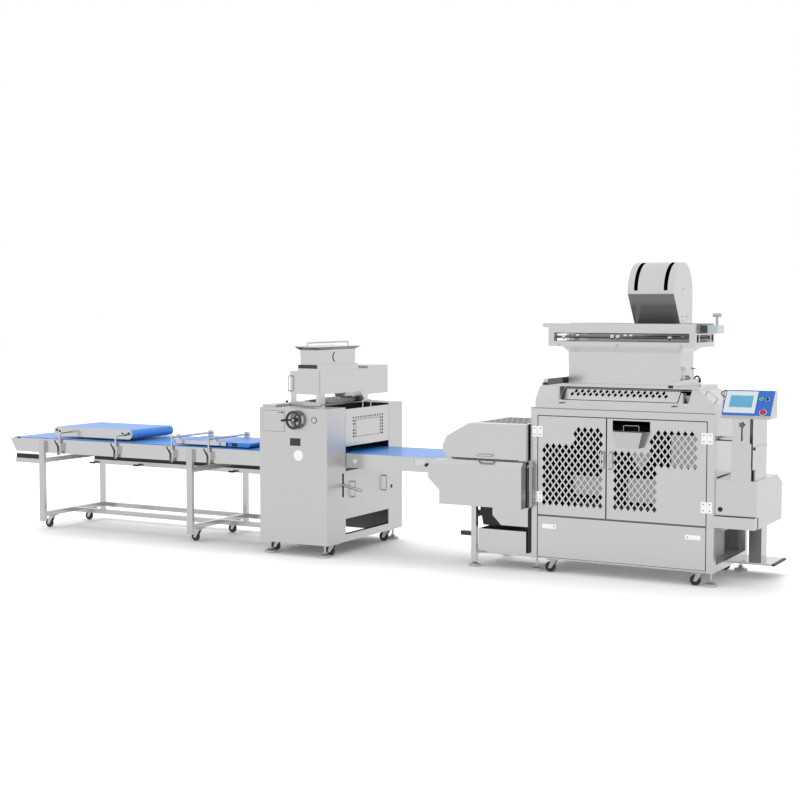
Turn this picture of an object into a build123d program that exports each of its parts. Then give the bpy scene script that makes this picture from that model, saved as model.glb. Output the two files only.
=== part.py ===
"""A dough forming line: divider, outfeed unit, moulder with flour duster, and make-up table."""

import os
from math import cos, radians, sin

from build123d import *

os.makedirs("parts", exist_ok=True)

# The line, in millimetres: X runs from the table to the divider, Y from the front to the back
table_length = 2900
transfer_gap = 1647
control_overhang = 416
handle_reach = 114
motor_overhang = 158
belt_height = 834

# Common stock
sheet = 2.5
plate = 5
running_clearance = 0.05
seat_gap = 0.3
belt_thickness = 4
roller_radius = 35
foot_radius = 50
foot_height = 14
foot_stem_radius = 9
handle_radius = 6

# Castors
wheel_radius = 40
wheel_width = 26
castor_trail = 30
axle_radius = 5
swivel_radius = 8
fork_sheet = 4
fork_top = 7
castor_pad = 6
castor_turn = -90

# Divider cabinet
divider_width = 1446
divider_depth = 870
divider_set_back = 312
frame_bottom = 102
frame_top = 1264
post = 55
door_fold = 20
door_gap = 3
door_bottom = 440
door_split = 616
service_bottom = 117
hinge_leaf = 36
hinge_height = 82
hinge_thickness = 4
hinge_low = 542
hinge_high = 1043
hinge_barrel = 6
hinge_pin = 3
hinge_reach = 7
diamond_pitch_x = 51
diamond_pitch_z = 66.6
diamond_width = 36
diamond_height = 50
door_handle_length = 126
door_handle_low = 826
door_handle_reach = 38
window_left = 664
window_width = 293
window_bottom = 1113
window_height = 77
pan_width = 240
pan_depth = 96
pan_height = 121
latch_width = 116
latch_height = 34
latch_bottom = 341
latch_inset = 40

# Casing over the cabinet
cheek_inset = 33
left_cheek_width = 215
right_cheek_width = 199
cheek_setback = 5
cheek_front_height = 67
cheek_height = 161
cheek_depth = 560
cheek_right_inset = 6
hip_width = 150
hip_grip_reach = 40
seat_height = 24
sill_height = 65
guard_setback = 15
guard_foot_gap = 4
guard_rise = 82
guard_margin = 6
guard_recess = 87
guard_stile = 43
guard_pin = 6
guard_columns = 16
guard_pitch = 49.4
guard_field_left = 60
guard_row_first = 56
guard_row_step = 31
guard_diamond_width = 31
guard_diamond_height = 44
recess_height = 120
feed_roller_radius = 58
feed_roller_shaft = 20
feed_roller_height = 84
feed_roller_first = 205
feed_roller_spacing = 140

# Dough hopper and the frame above it
hopper_left = 246
hopper_width = 886
hopper_front = 150
hopper_depth = 300
hopper_wall_height = 240
hopper_flare_height = 44
hopper_flare_width = 36
hopper_sheet = 3
ring_left = 94
ring_width = 1162
ring_front = 110
ring_depth = 460
ring_tube = 30
ring_lower_height = 36
ring_slot_height = 66
ring_upper_height = 71
ring_lip_height = 10
ring_post_width = 46
partition_rod_radius = 10
partition_knob_radius = 14
rail_width = 36
rail_height = 45
rail_reach = 340
rail_gap = 26
rail_plug = 20
rail_clamp_first = 100
rail_clamp_spacing = 220
rail_clamp_rise = 80

# Feed hood
hood_left = 723
hood_width = 357
hood_front = 134
hood_slant = 152
hood_knee = 221
hood_arc_height = 241
hood_slot_width = 30
hood_slot_inset = 48

# Control console on its tower
console_width = 352
console_bottom = 1243
console_height = 194
console_back = 120
console_lean = 140
console_foot = 200
fascia = 3
screen_width = 228
screen_height = 190
display_width = 164
display_height = 100
start_radius = 12
selector_radius = 11
stop_radius = 20
tower_left = 134
tower_width = 150
tower_depth = 365
tower_bottom = 875
tower_slot = 22
knob_radius = 22
knob_lobes = 5

# Side housing with its tray and pedestal
housing_width = 304
housing_front = 20
housing_depth = 690
housing_top = 790
housing_floor = 530
housing_bottom = 440
tray_depth = 400
pedestal_width = 95
pedestal_depth = 150

# Dividing drum and its drive
drum_radius = 130
drum_shaft = 25
drum_height = 1020
drum_setback = 300
side_plate = 12
side_plate_inset = 105
motor_radius = 75
motor_length = 260
gearbox_size = 170

# Outfeed unit beside the cabinet
outfeed_gap = 12
hood_front_reach = 105
outfeed_depth = 725
outfeed_hood_length = 695
outfeed_hood_bottom = 857
outfeed_hood_top = 1135
cover_reach = 145
cover_depth = 108
cover_length = 810
cover_bottom = 493
cover_step = 811
cover_gap = 11
leg_size = 42
leg_left = 496
leg_bottom = 40
bin_width = 405
bin_depth = 480
bin_bottom = 136
bin_height = 172
bin_gap = 4
chute_width = 114
chute_shift = 34
chute_flare = 75
chute_lap = 7
outfeed_arm_reach = 95
outfeed_arm_bottom = 240
outfeed_arm_height = 34

# Infeed conveyor between moulder and divider
infeed_width = 666
infeed_front = -2
infeed_end = 745
infeed_panel_height = 118
infeed_reach = 245
infeed_window = 120
infeed_window_height = 62
infeed_window_setback = 165
infeed_knob_radius = 20

# Moulder
moulder_width = 653
moulder_depth = 1242
front_cheek = 287
rear_cheek = 240
moulder_bottom = 103
moulder_top = 1211
top_cover_height = 20
top_recess = 60
guard_bottom = 889
guard_hole = 16
guard_hole_pitch = 26
cover_low = 292
cover_high = 688
base_bar = 60
wheel_height = 1117
wheel_place = 356
wheel_rim_radius = 77
wheel_rim = 18
wheel_shaft = 10
sheeting_radius = 60
sheeting_shaft = 20
sheeting_gap = 3
nip_height = 856
spindle_radius = 10
lever_radius = 12
lever_drop = 12
lever_pivot_x = 300
lever_pivot_z = 652
lever_length = 555
lever_pin = 8

# Flour duster on the moulder
duster_left = 136
duster_width = 284
duster_front = 252
duster_depth = 796
duster_stand_height = 97
duster_box_height = 192
duster_flange_height = 55
duster_hopper_left = 220
duster_hopper_width = 171
duster_hopper_front = 280
duster_hopper_depth = 600
duster_hopper_height = 120
duster_rim = 34
duster_rim_height = 25
duster_roller_radius = 32
duster_roller_shaft = 12
duster_motor_height = 250
duster_motor_drop = 34

# Make-up table
table_depth = 848
table_set_back = 144
table_panel_low = 703
table_panel_high = 822
table_tip = 75
table_leg = 40
table_leg_first = 377
table_leg_spacing = 1678
table_leg_bottom = 74
table_leg_top = 745
front_leg_width = 60
front_leg_depth = 30
front_leg_top = 812
low_tube_height = 115
high_tube_height = 610
table_belt_margin = 20
table_castor_front = 110
table_castor_rear = 659
post_radius = 9
post_reach = 18
press_first = 616
press_spacing = 652
press_left = 429
press_length = 915
press_front = 118
press_width = 594
press_height = 86
press_gap = 17
smooth_first = 1891
smooth_spacing = 395
smooth_left = 1850
smooth_length = 800
smooth_front = 70
smooth_width = 500
smooth_height = 36
smooth_gap = 10
smooth_rod_height = 909
smooth_trim = 120
bracket_width = 56
bracket_height = 70

# Where each unit stands
line_length = table_length + moulder_width + transfer_gap + divider_width + control_overhang
line_depth = handle_reach + moulder_depth + motor_overhang
table_x = -line_length / 2
moulder_x = table_x + table_length
divider_x = moulder_x + moulder_width + transfer_gap
moulder_y = handle_reach - line_depth / 2
divider_y = moulder_y + divider_set_back
table_y = moulder_y + table_set_back
table = Location((table_x, table_y, 0))
moulder = Location((moulder_x, moulder_y, 0))
divider = Location((divider_x, divider_y, 0))


def front(y):
    """A drawing plane square to Y, seen from the front; a negative extrusion goes back."""
    return Plane.XZ.offset(-y)


def side(x):
    """A drawing plane square to X, with Y to the right and Z up."""
    return Plane.YZ.offset(x)


def span(x, y, z, mode=Mode.ADD):
    """A block between three pairs of limits."""
    with Locations(((x[0] + x[1]) / 2, (y[0] + y[1]) / 2, (z[0] + z[1]) / 2)):
        Box(x[1] - x[0], y[1] - y[0], z[1] - z[0], mode=mode)


def bar(x, y, z):
    """One straight length of tube or plate, as a solid of its own."""
    with BuildPart() as length:
        span(x, y, z)
    return length.part


def rod(start, end, radius):
    """A round bar between two points, as a solid of its own."""
    run = Vector(*end) - Vector(*start)
    with BuildPart() as length:
        with BuildSketch(Plane(origin=start, z_dir=run)):
            Circle(radius)
        extrude(amount=run.length)
    return length.part


def bow(start, end, out, radius):
    """A bent round handle that stands off a face between two points."""
    first = Vector(*start)
    last = Vector(*end)
    reach = Vector(*out)
    with BuildPart() as handle:
        with BuildLine() as path:
            FilletPolyline(first, first + reach, last + reach, last, radius=2 * radius)
        with BuildSketch(Plane(origin=first, z_dir=reach)):
            Circle(radius)
        sweep(path=path.line)
    return handle.part


def belt_loop(x, y, top, radius):
    """A flat belt round two ends of one radius, its upper run at the given height."""
    with BuildPart() as loop:
        with BuildSketch(front(y[0])):
            with Locations(((x[0] + x[1]) / 2, top - radius)):
                SlotOverall(x[1] - x[0], 2 * radius)
                inside = radius - belt_thickness
                SlotOverall(x[1] - x[0] - 2 * belt_thickness, 2 * inside, mode=Mode.SUBTRACT)
        extrude(amount=-(y[1] - y[0]))
    return loop.part


def roller(x, z, y, shaft_y, radius, shaft_radius):
    """A plain roller along Y with a journal at each end."""
    with BuildPart() as turned:
        with BuildSketch(front(y[0])):
            with Locations((x, z)):
                Circle(radius)
        extrude(amount=-(y[1] - y[0]))
        with BuildSketch(front(shaft_y[0])):
            with Locations((x, z)):
                Circle(shaft_radius)
        extrude(amount=-(shaft_y[1] - shaft_y[0]))
    return turned.part


def write(pieces, name, unit):
    """Places a piece, or a group of separate solids, in the line and writes it."""
    placed = Compound(pieces).moved(unit)
    placed.label = name
    export_step(placed, f"parts/{name}.step")


def castor_fork(x, y, top, stem):
    """Swivel fork: a round head, its stem if it has one, two cheeks and the axle, trailing to the left."""
    wheel_y = y - castor_trail
    half = wheel_width / 2 + 2
    with BuildPart() as fork:
        with BuildSketch(Plane.XY.offset(top - seat_gap)):
            with Locations((x, y)):
                Circle(half + fork_sheet + 4)
        extrude(amount=-fork_top)
        if stem:
            with BuildSketch(Plane.XY.offset(top - seat_gap)):
                with Locations((x, y)):
                    Circle(swivel_radius)
            extrude(amount=stem + seat_gap)
        for hand in (-1, 1):
            inner = x + hand * half
            with BuildSketch(side(inner)):
                with BuildLine():
                    Polyline(
                        (y - 24, top - fork_top),
                        (y + 24, top - fork_top),
                        (wheel_y + 12, wheel_radius - 10),
                        (wheel_y - 12, wheel_radius - 10),
                        close=True,
                    )
                make_face()
            extrude(amount=hand * fork_sheet)
        with BuildSketch(side(x - half)):
            with Locations((wheel_y, wheel_radius)):
                Circle(axle_radius)
        extrude(amount=2 * half)
    return fork.part.rotate(Axis((x, y, 0), (0, 0, 1)), castor_turn)


def castor_wheel(x, y):
    """Solid wheel with a bore for the fork's axle."""
    with BuildPart() as wheel:
        with BuildSketch(side(x - wheel_width / 2)):
            with Locations((y - castor_trail, wheel_radius)):
                Circle(wheel_radius)
                Circle(axle_radius + running_clearance, mode=Mode.SUBTRACT)
        extrude(amount=wheel_width)
    return wheel.part.rotate(Axis((x, y, 0), (0, 0, 1)), castor_turn)


def foot(x, y, top):
    """Levelling foot: a round pad under a threaded stem."""
    with BuildPart() as pad:
        with BuildSketch(Plane.XY):
            with Locations((x, y)):
                Circle(foot_radius)
        extrude(amount=foot_height)
        with BuildSketch(Plane.XY):
            with Locations((x, y)):
                Circle(foot_stem_radius)
        extrude(amount=top)
    return pad.part


# Divider frame: square tubes, with the fixed leaves of the door hinges
inner_right = divider_width - post
inner_back = divider_depth - post
opening_top = frame_top - post
rail_front = door_fold + 7
left_axis = post + door_gap / 2
right_axis = inner_right - door_gap / 2
hinge_axis_y = -hinge_reach


def hinge_half(axis_x, hand, bottom, fixed):
    """One leaf of a butt hinge with its half of the barrel; the fixed leaf carries the pin."""
    near = axis_x + hand * hinge_barrel
    far = near + hand * hinge_leaf
    half = hinge_height / 2
    low = bottom if fixed else bottom + half + seat_gap
    high = bottom + half if fixed else bottom + hinge_height
    with BuildPart() as leaf:
        span(sorted((near, far)), (-hinge_thickness, 0), (bottom, bottom + hinge_height))
        span(sorted((axis_x, near)), (-hinge_thickness - 2, -1), (low, high))
        with BuildSketch(Plane.XY.offset(low)):
            with Locations((axis_x, hinge_axis_y)):
                Circle(hinge_barrel)
        extrude(amount=high - low)
        if fixed:
            with BuildSketch(Plane.XY.offset(low)):
                with Locations((axis_x, hinge_axis_y)):
                    Circle(hinge_pin)
            extrude(amount=hinge_height)
        else:
            with BuildSketch(Plane.XY.offset(low)):
                with Locations((axis_x, hinge_axis_y)):
                    Circle(hinge_pin + running_clearance)
            extrude(amount=high - low, mode=Mode.SUBTRACT)
    return leaf.part


frame_tubes = []
for x in (0, inner_right):
    for y in (0, inner_back):
        frame_tubes.append(bar((x, x + post), (y, y + post), (frame_bottom, frame_top)))
    for z in (frame_bottom, door_bottom - post, opening_top):
        frame_tubes.append(bar((x, x + post), (post, inner_back), (z, z + post)))
for y in (0, inner_back):
    frame_tubes.append(bar((post, inner_right), (y, y + post), (opening_top, frame_top)))
for z, y in ((frame_bottom, door_fold), (door_bottom - post / 2, rail_front)):
    frame_tubes.append(bar((post, inner_right), (y, post), (z, z + post)))
frame_tubes.append(bar((post, inner_right), (inner_back, divider_depth), (frame_bottom, frame_bottom + post)))
for bottom in (hinge_low, hinge_high):
    frame_tubes.append(hinge_half(left_axis, -1, bottom, True))
    frame_tubes.append(hinge_half(right_axis, 1, bottom, True))
write(frame_tubes, "divider_frame", divider)


# Doors: folded sheets with staggered diamond perforations
def diamond_rows(first_x, columns, rows):
    """Centres of a staggered field: even rows hold all columns, odd rows one fewer, half a pitch over."""
    centres = []
    for row in rows:
        odd = row % 2
        for column in range(columns - odd):
            x = first_x + (column + odd / 2) * diamond_pitch_x
            centres.append((x, field_bottom + row * diamond_pitch_z / 2))
    return centres


def diamond(width, height):
    """The perforation's outline."""
    corners = ((-width / 2, 0), (0, height / 2), (width / 2, 0), (0, -height / 2))
    Polygon(*corners, align=None, mode=Mode.SUBTRACT)


def folded_door(x, z, holes, window=None):
    """A sheet with its edges folded back, pierced by diamonds and, on one door, a window."""
    with BuildPart() as door:
        with BuildSketch(front(0)):
            with Locations(((x[0] + x[1]) / 2, (z[0] + z[1]) / 2)):
                Rectangle(x[1] - x[0], z[1] - z[0])
            if holes:
                with Locations(*holes):
                    diamond(diamond_width, diamond_height)
            if window:
                with Locations(((window[0] + window[1]) / 2, (window[2] + window[3]) / 2)):
                    Rectangle(window[1] - window[0], window[3] - window[2], mode=Mode.SUBTRACT)
        extrude(amount=-sheet)
        with BuildSketch(front(sheet)):
            with Locations(((x[0] + x[1]) / 2, (z[0] + z[1]) / 2)):
                Rectangle(x[1] - x[0], z[1] - z[0])
                Rectangle(x[1] - x[0] - 2 * sheet, z[1] - z[0] - 2 * sheet, mode=Mode.SUBTRACT)
        extrude(amount=-(door_fold - sheet))
    return door.part


field_bottom = door_bottom + 102
door_x = (post + door_gap, inner_right - door_gap)
door_z = (door_bottom + door_gap, opening_top - door_gap)
left_first = door_x[0] + 54
left_columns = 10
left_holes = diamond_rows(left_first, left_columns, range(14))
left_holes += diamond_rows(left_first + 5 * diamond_pitch_x, left_columns - 5, range(14, 18))
left_door_x = (door_x[0], door_split - door_gap / 2)
left_door = [folded_door(left_door_x, door_z, left_holes)]
right_first = door_split + 73
right_columns = 7
full_columns = 13
right_holes = diamond_rows(right_first, right_columns, range(10))
right_holes += diamond_rows(right_first, full_columns, range(10, 13))
right_holes += diamond_rows(right_first + 5 * diamond_pitch_x, full_columns - 5, (13, 15))
right_holes += diamond_rows(right_first + 6 * diamond_pitch_x, full_columns - 6, (14, 16, 17))
right_door_x = (door_split + door_gap / 2, door_x[1])
window_x = (window_left, window_left + window_width)
window_z = (window_bottom, window_bottom + window_height)
right_door = [folded_door(right_door_x, door_z, right_holes, (*window_x, *window_z))]
handle_out = (0, -door_handle_reach, 0)
handle_top = door_handle_low + door_handle_length
for leaves, x in ((left_door, door_split - 30), (right_door, door_split + 38)):
    leaves.append(bow((x, 0, door_handle_low), (x, 0, handle_top), handle_out, handle_radius))
for bottom in (hinge_low, hinge_high):
    left_door.append(hinge_half(left_axis, 1, bottom, False))
    right_door.append(hinge_half(right_axis, -1, bottom, False))
write(left_door, "left_door", divider)
write(right_door, "right_door", divider)

# Catch pan: a tapered pocket that hangs on the window's lower edge
pan_x = window_left + window_width / 2 - 2
pan_back = -seat_gap
with BuildPart() as door_pan:
    with BuildSketch(Plane.XY.offset(window_bottom)):
        with Locations((pan_x, pan_back - pan_depth / 2)):
            Rectangle(pan_width, pan_depth)
    with BuildSketch(Plane.XY.offset(window_bottom - pan_height)):
        with Locations((pan_x, pan_back - pan_depth * 0.35)):
            Rectangle(pan_width * 0.68, pan_depth * 0.7)
    loft()
    rim = door_pan.faces().sort_by(Axis.Z)[-1]
    offset(amount=-sheet, openings=rim, kind=Kind.INTERSECTION)
hook_reach = door_fold / 2
hook_z = (window_bottom + seat_gap, window_bottom + seat_gap + sheet)
hook_x = (pan_x - pan_width * 0.35, pan_x + pan_width * 0.35)
with BuildPart() as pan_hook:
    span(hook_x, (pan_back - pan_depth / 6, hook_reach), hook_z)
    span(hook_x, (pan_back - sheet, pan_back), (window_bottom, hook_z[1]))
pan_handle = bow(
    (pan_x - pan_width / 4, hook_reach / 2, hook_z[1]),
    (pan_x + pan_width / 4, hook_reach / 2, hook_z[1]),
    (0, 0, window_height / 2),
    handle_radius / 2,
)
write([door_pan.part, pan_hook.part, pan_handle], "door_pan", divider)

# Cabinet panels: service panel with latch plates, side and rear sheets, floor and deck
floor_top = frame_bottom + post
deck_top = frame_top + sheet
cheek_top = deck_top + cheek_height
left_cheek = (cheek_inset, cheek_inset + left_cheek_width)
right_cheek = (divider_width - cheek_right_inset - right_cheek_width, divider_width - cheek_right_inset)
hip_drop = cheek_height - cheek_front_height
throat_y = (cheek_setback + feed_roller_first - feed_roller_spacing, cheek_depth - post)
roller_z = deck_top + feed_roller_height
roller_ys = (feed_roller_first, feed_roller_first + feed_roller_spacing)
guard_foot = (cheek_setback + guard_setback, deck_top + sill_height + guard_foot_gap)
guard_axis = (guard_foot[0] + guard_rise, guard_foot[1] + guard_rise)
plate_left = (side_plate_inset, side_plate_inset + side_plate)
plate_right = (divider_width - plate_left[1], divider_width - plate_left[0])


def cheek(x, inner_face, hand):
    """Casing cheek with a leaning front and bearings in its inner face; the right one has a sloping hip."""
    bearing_depth = 2 * feed_roller_shaft
    with BuildPart() as casing:
        with BuildSketch(side(x[0])):
            with BuildLine():
                Polyline(
                    (cheek_setback, deck_top),
                    (cheek_setback, deck_top + cheek_front_height),
                    (cheek_setback + hip_drop, cheek_top),
                    (cheek_depth, cheek_top),
                    (cheek_depth, deck_top),
                    close=True,
                )
            make_face()
        extrude(amount=x[1] - x[0])
        if hand > 0:
            with BuildSketch(front(0)):
                with BuildLine():
                    Polyline(
                        (x[0], deck_top),
                        (x[0], cheek_top),
                        (x[1] - hip_width, cheek_top),
                        (x[1], cheek_top - hip_drop),
                        (x[1], deck_top),
                        close=True,
                    )
                make_face()
            extrude(amount=-(cheek_depth + cheek_setback), mode=Mode.INTERSECT)
        with BuildSketch(side(inner_face)):
            with Locations(*[(y, roller_z) for y in roller_ys]):
                Circle(feed_roller_shaft + running_clearance)
        extrude(amount=hand * bearing_depth, mode=Mode.SUBTRACT)
        with BuildSketch(side(inner_face)):
            with Locations(guard_axis):
                Circle(guard_pin + running_clearance)
        extrude(amount=hand * 3 * guard_pin, mode=Mode.SUBTRACT)
    return casing.part


def drum_plate(x):
    """Upright plate that carries one end of the dividing drum."""
    with BuildPart() as upright:
        with BuildSketch(side(x[0])):
            with Locations((drum_setback + post, (floor_top + frame_top) / 2)):
                Rectangle(4 * drum_radius, frame_top - floor_top)
            with Locations((drum_setback, drum_height)):
                Circle(drum_shaft + running_clearance, mode=Mode.SUBTRACT)
        extrude(amount=x[1] - x[0])
    return upright.part


def t_handle(start, end, cross, radius):
    """A stem with a cross bar on its end."""
    run = Vector(*end) - Vector(*start)
    half = Vector(*cross)
    with BuildPart() as handle:
        with BuildSketch(Plane(origin=start, z_dir=run)):
            Circle(radius * 0.7)
        extrude(amount=run.length)
        with BuildSketch(Plane(origin=Vector(*end) - half, z_dir=half)):
            Circle(radius)
        extrude(amount=2 * half.length)
    return handle.part


def framed_opening(x, y, z, opening_x, opening_y):
    """A flat plate with one rectangular opening."""
    with BuildPart() as surround:
        span(x, y, z)
        span(opening_x, opening_y, z, mode=Mode.SUBTRACT)
    return surround.part


panels = [folded_door(door_x, (service_bottom, door_bottom - door_gap), None)]
latch_z = (latch_bottom, latch_bottom + latch_height)
for x in (door_x[0] + latch_inset, door_x[1] - latch_inset - latch_width):
    panels.append(bar((x, x + latch_width), (-sheet, 0), latch_z))
for x in (post / 3, divider_width - post / 3 - sheet):
    panels.append(bar((x, x + sheet), (post, inner_back), (door_bottom, opening_top)))
rear_y = (divider_depth - post / 2, divider_depth - post / 2 + sheet)
panels.append(bar((post, inner_right), rear_y, (floor_top, opening_top)))
panels.append(bar((post, inner_right), (post, inner_back), (floor_top - sheet, floor_top)))
throat_x = (left_cheek[1], right_cheek[0])
deck_z = (frame_top, deck_top)
panels.append(framed_opening((0, divider_width), (0, divider_depth), deck_z, throat_x, throat_y))
panels.append(cheek(left_cheek, left_cheek[1], -1))
panels.append(cheek(right_cheek, right_cheek[0], 1))
panels.append(drum_plate(plate_left))
panels.append(drum_plate(plate_right))
sill_y = (cheek_setback, cheek_setback + sheet)
sill_top = deck_top + sill_height
panels.append(bar(throat_x, sill_y, (deck_top, sill_top)))
panels.append(bar(throat_x, (sill_y[1], guard_foot[0] + 2 * sheet), (sill_top - sheet, sill_top)))
sill_latch_z = deck_top + sill_height * 0.65
for x in (throat_x[0] + 8, throat_x[1] - 100):
    catch = ((x, cheek_setback, sill_latch_z), (x, -handle_radius * 3, sill_latch_z))
    panels.append(t_handle(*catch, (handle_radius * 3, 0, 0), handle_radius * 0.7))
guard_x = (throat_x[0] + guard_margin, throat_x[1] - guard_recess)
stile_x = (guard_x[1] + guard_margin, guard_x[1] + guard_margin + guard_stile)
stile_rise = guard_rise - 2 * guard_pin
with BuildPart() as stile:
    with BuildSketch(side(stile_x[0])):
        with BuildLine():
            Polyline(
                (guard_foot[0], sill_top),
                (guard_foot[0] + stile_rise, sill_top + stile_rise),
                (guard_foot[0] + stile_rise + 2 * sheet, sill_top + stile_rise),
                (guard_foot[0] + 2 * sheet, sill_top),
                close=True,
            )
        make_face()
    extrude(amount=guard_stile)
panels.append(stile.part)
recess_y = (throat_y[0] - sheet, throat_y[0])
panels.append(bar((stile_x[1], throat_x[1]), recess_y, (deck_top, deck_top + recess_height)))
grip = []
for share, y in ((0.37, 75), (0.93, 40)):
    grip.append((right_cheek[1] - hip_width * (1 - share), y, cheek_top - hip_drop * share))
hip_out = Vector(hip_drop, 0, hip_width).normalized() * hip_grip_reach
panels.append(bow(*grip, tuple(hip_out), handle_radius * 0.8))
seat_x = (left_cheek[0], right_cheek[1] - hip_width)
seat_z = (cheek_top, cheek_top + seat_height)
hopper_x = (hopper_left, hopper_left + hopper_width)
hopper_y = (hopper_front, hopper_front + hopper_depth)
throat = [(low + hopper_sheet, high - hopper_sheet) for low, high in (hopper_x, hopper_y)]
seat_y = (guard_axis[0] + guard_pin + 10, cheek_depth)
for y in ((seat_y[0], throat[1][0]), (throat[1][1], seat_y[1])):
    panels.append(bar(seat_x, y, seat_z))
for x in ((seat_x[0], throat[0][0]), (throat[0][1], seat_x[1])):
    panels.append(bar(x, throat[1], seat_z))
write(panels, "cabinet_panels", divider)

# Roller guard: a leaning perforated flap hinged along its upper edge
guard_length = guard_rise * 2**0.5
guard_plane = Plane(origin=(guard_x[0], *guard_foot), x_dir=(1, 0, 0), z_dir=(0, -1, 1))
with BuildPart() as roller_guard:
    with BuildSketch(guard_plane):
        with Locations(((guard_x[1] - guard_x[0]) / 2, guard_length / 2)):
            Rectangle(guard_x[1] - guard_x[0], guard_length)
        for row in (0, 1):
            row_y = guard_row_first + row * guard_row_step
            row_x = guard_field_left + row * guard_pitch / 2
            columns = [(row_x + guard_pitch * i, row_y) for i in range(guard_columns - row)]
            with Locations(*columns):
                diamond(guard_diamond_width, guard_diamond_height)
    extrude(amount=-sheet)
    with BuildSketch(side(throat_x[0] - 2 * guard_pin)):
        with Locations(guard_axis):
            Circle(guard_pin)
    extrude(amount=throat_x[1] - throat_x[0] + 4 * guard_pin)
write([roller_guard.part], "roller_guard", divider)


# Feed rollers: ribbed, turning in the cheeks
def feed_roller(y):
    """A ribbed roller along X with a plain journal at each end."""
    ribs = 8
    rib = feed_roller_radius / 6
    body_x = (throat_x[0] + guard_margin, throat_x[1] - guard_margin)
    with BuildPart() as ribbed:
        with BuildSketch(side(body_x[0])):
            with Locations((y, roller_z)):
                Circle(feed_roller_radius - rib)
                with PolarLocations(feed_roller_radius - rib, ribs):
                    Rectangle(2 * rib, rib)
        extrude(amount=body_x[1] - body_x[0])
        with BuildSketch(side(throat_x[0] - 1.5 * feed_roller_shaft)):
            with Locations((y, roller_z)):
                Circle(feed_roller_shaft)
        extrude(amount=throat_x[1] - throat_x[0] + 3 * feed_roller_shaft)
    return ribbed.part


for y, place in zip(roller_ys, ("front", "rear")):
    write([feed_roller(y)], f"feed_roller_{place}", divider)

# Dividing drum with rows of pockets, and the gearmotor on the cabinet floor
drum_x = (plate_left[1] + 2 * drum_shaft, plate_right[0] - 2 * drum_shaft)
pocket_columns = 4
pocket = (drum_x[1] - drum_x[0]) / (pocket_columns + 1) * 0.6
with BuildPart() as dividing_drum:
    for x, radius in ((drum_x, drum_radius), ((plate_left[0], plate_right[1]), drum_shaft)):
        with BuildSketch(side(x[0])):
            with Locations((drum_setback, drum_height)):
                Circle(radius)
        extrude(amount=x[1] - x[0])
    pocket_step = (drum_x[1] - drum_x[0]) / pocket_columns
    pocket_x = [drum_x[0] + pocket_step * (i + 0.5) for i in range(pocket_columns)]
    for turn in range(3):
        with Locations(Location((0, drum_setback, drum_height), (120 * turn, 0, 0))):
            with Locations(*[(x, 0, drum_radius) for x in pocket_x]):
                Box(pocket, pocket * 0.6, drum_radius * 0.4, mode=Mode.SUBTRACT)
write([dividing_drum.part], "dividing_drum", divider)

motor_y = divider_depth / 2
motor_x = divider_width / 3
motor_z = floor_top + gearbox_size / 2
with BuildPart() as gearmotor:
    span(
        (motor_x - gearbox_size, motor_x),
        (motor_y - gearbox_size / 2, motor_y + gearbox_size / 2),
        (floor_top, floor_top + gearbox_size),
    )
    with BuildSketch(side(motor_x)):
        with Locations((motor_y, motor_z)):
            Circle(motor_radius)
    extrude(amount=motor_length)
    terminal_x = (motor_x + motor_length / 3, motor_x + motor_length * 0.7)
    terminal_z = (motor_z - motor_radius * 0.4, motor_z + motor_radius * 0.4)
    span(terminal_x, (motor_y - motor_radius * 1.25, motor_y), terminal_z)
write([gearmotor.part], "gearmotor", divider)

# Dough hopper: straight walls that flare out to the frame above
hopper_bottom = seat_z[1]
hopper_knee = hopper_bottom + hopper_wall_height
ring_bottom = hopper_knee + hopper_flare_height
ring_x = (ring_left, ring_left + ring_width)
ring_y = (ring_front, ring_front + ring_depth)


def outline(x, y):
    """A rectangle between two pairs of limits."""
    with Locations(((x[0] + x[1]) / 2, (y[0] + y[1]) / 2)):
        Rectangle(x[1] - x[0], y[1] - y[0])


def flared_hopper(x, y, rim_x, rim_y, heights, wall):
    """A sheet hopper, open above and below: upright walls, then a flare out to the rim."""
    with BuildPart() as form:
        with BuildSketch(Plane.XY.offset(heights[0])):
            outline(x, y)
        extrude(amount=heights[1] - heights[0])
        with BuildSketch(Plane.XY.offset(heights[1])):
            outline(x, y)
        with BuildSketch(Plane.XY.offset(heights[2])):
            outline(rim_x, rim_y)
        loft()
        ends = form.faces().filter_by(Axis.Z).sort_by(Axis.Z)
        offset(amount=-wall, openings=[ends[0], ends[-1]], kind=Kind.INTERSECTION)
    return form.part


def folded_sheets(form, x, y, rim_x, rim_y, heights):
    """The four folded sheets that a flared hopper is welded from, cut along its corners."""
    outer, inner = [], []
    for i, j in ((0, 0), (1, 0), (1, 1), (0, 1)):
        knee = Vector(x[i], y[j])
        flare = Vector(rim_x[i], rim_y[j]) - knee
        outer.append(knee + flare * 1.5)
        inner.append(knee - flare * ((y[1] - y[0]) / 3 / abs(flare.Y)))
    sheets = []
    for corner in range(4):
        after = (corner + 1) % 4
        with BuildPart() as wedge:
            with BuildSketch(Plane.XY.offset(heights[0] - 1)):
                with BuildLine():
                    Polyline(outer[corner], outer[after], inner[after], inner[corner], close=True)
                make_face()
            extrude(amount=heights[2] - heights[0] + 2)
        sheets += (form & wedge.part).solids()
    return sheets


hopper_heights = (hopper_bottom, hopper_knee, ring_bottom)
hopper_rim_x = (hopper_x[0] - hopper_flare_width, hopper_x[1] + hopper_flare_width)
hopper_form = flared_hopper(hopper_x, hopper_y, hopper_rim_x, ring_y, hopper_heights, hopper_sheet)
hopper_sheets = folded_sheets(hopper_form, hopper_x, hopper_y, hopper_rim_x, ring_y, hopper_heights)
write(hopper_sheets, "dough_hopper", divider)

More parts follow.
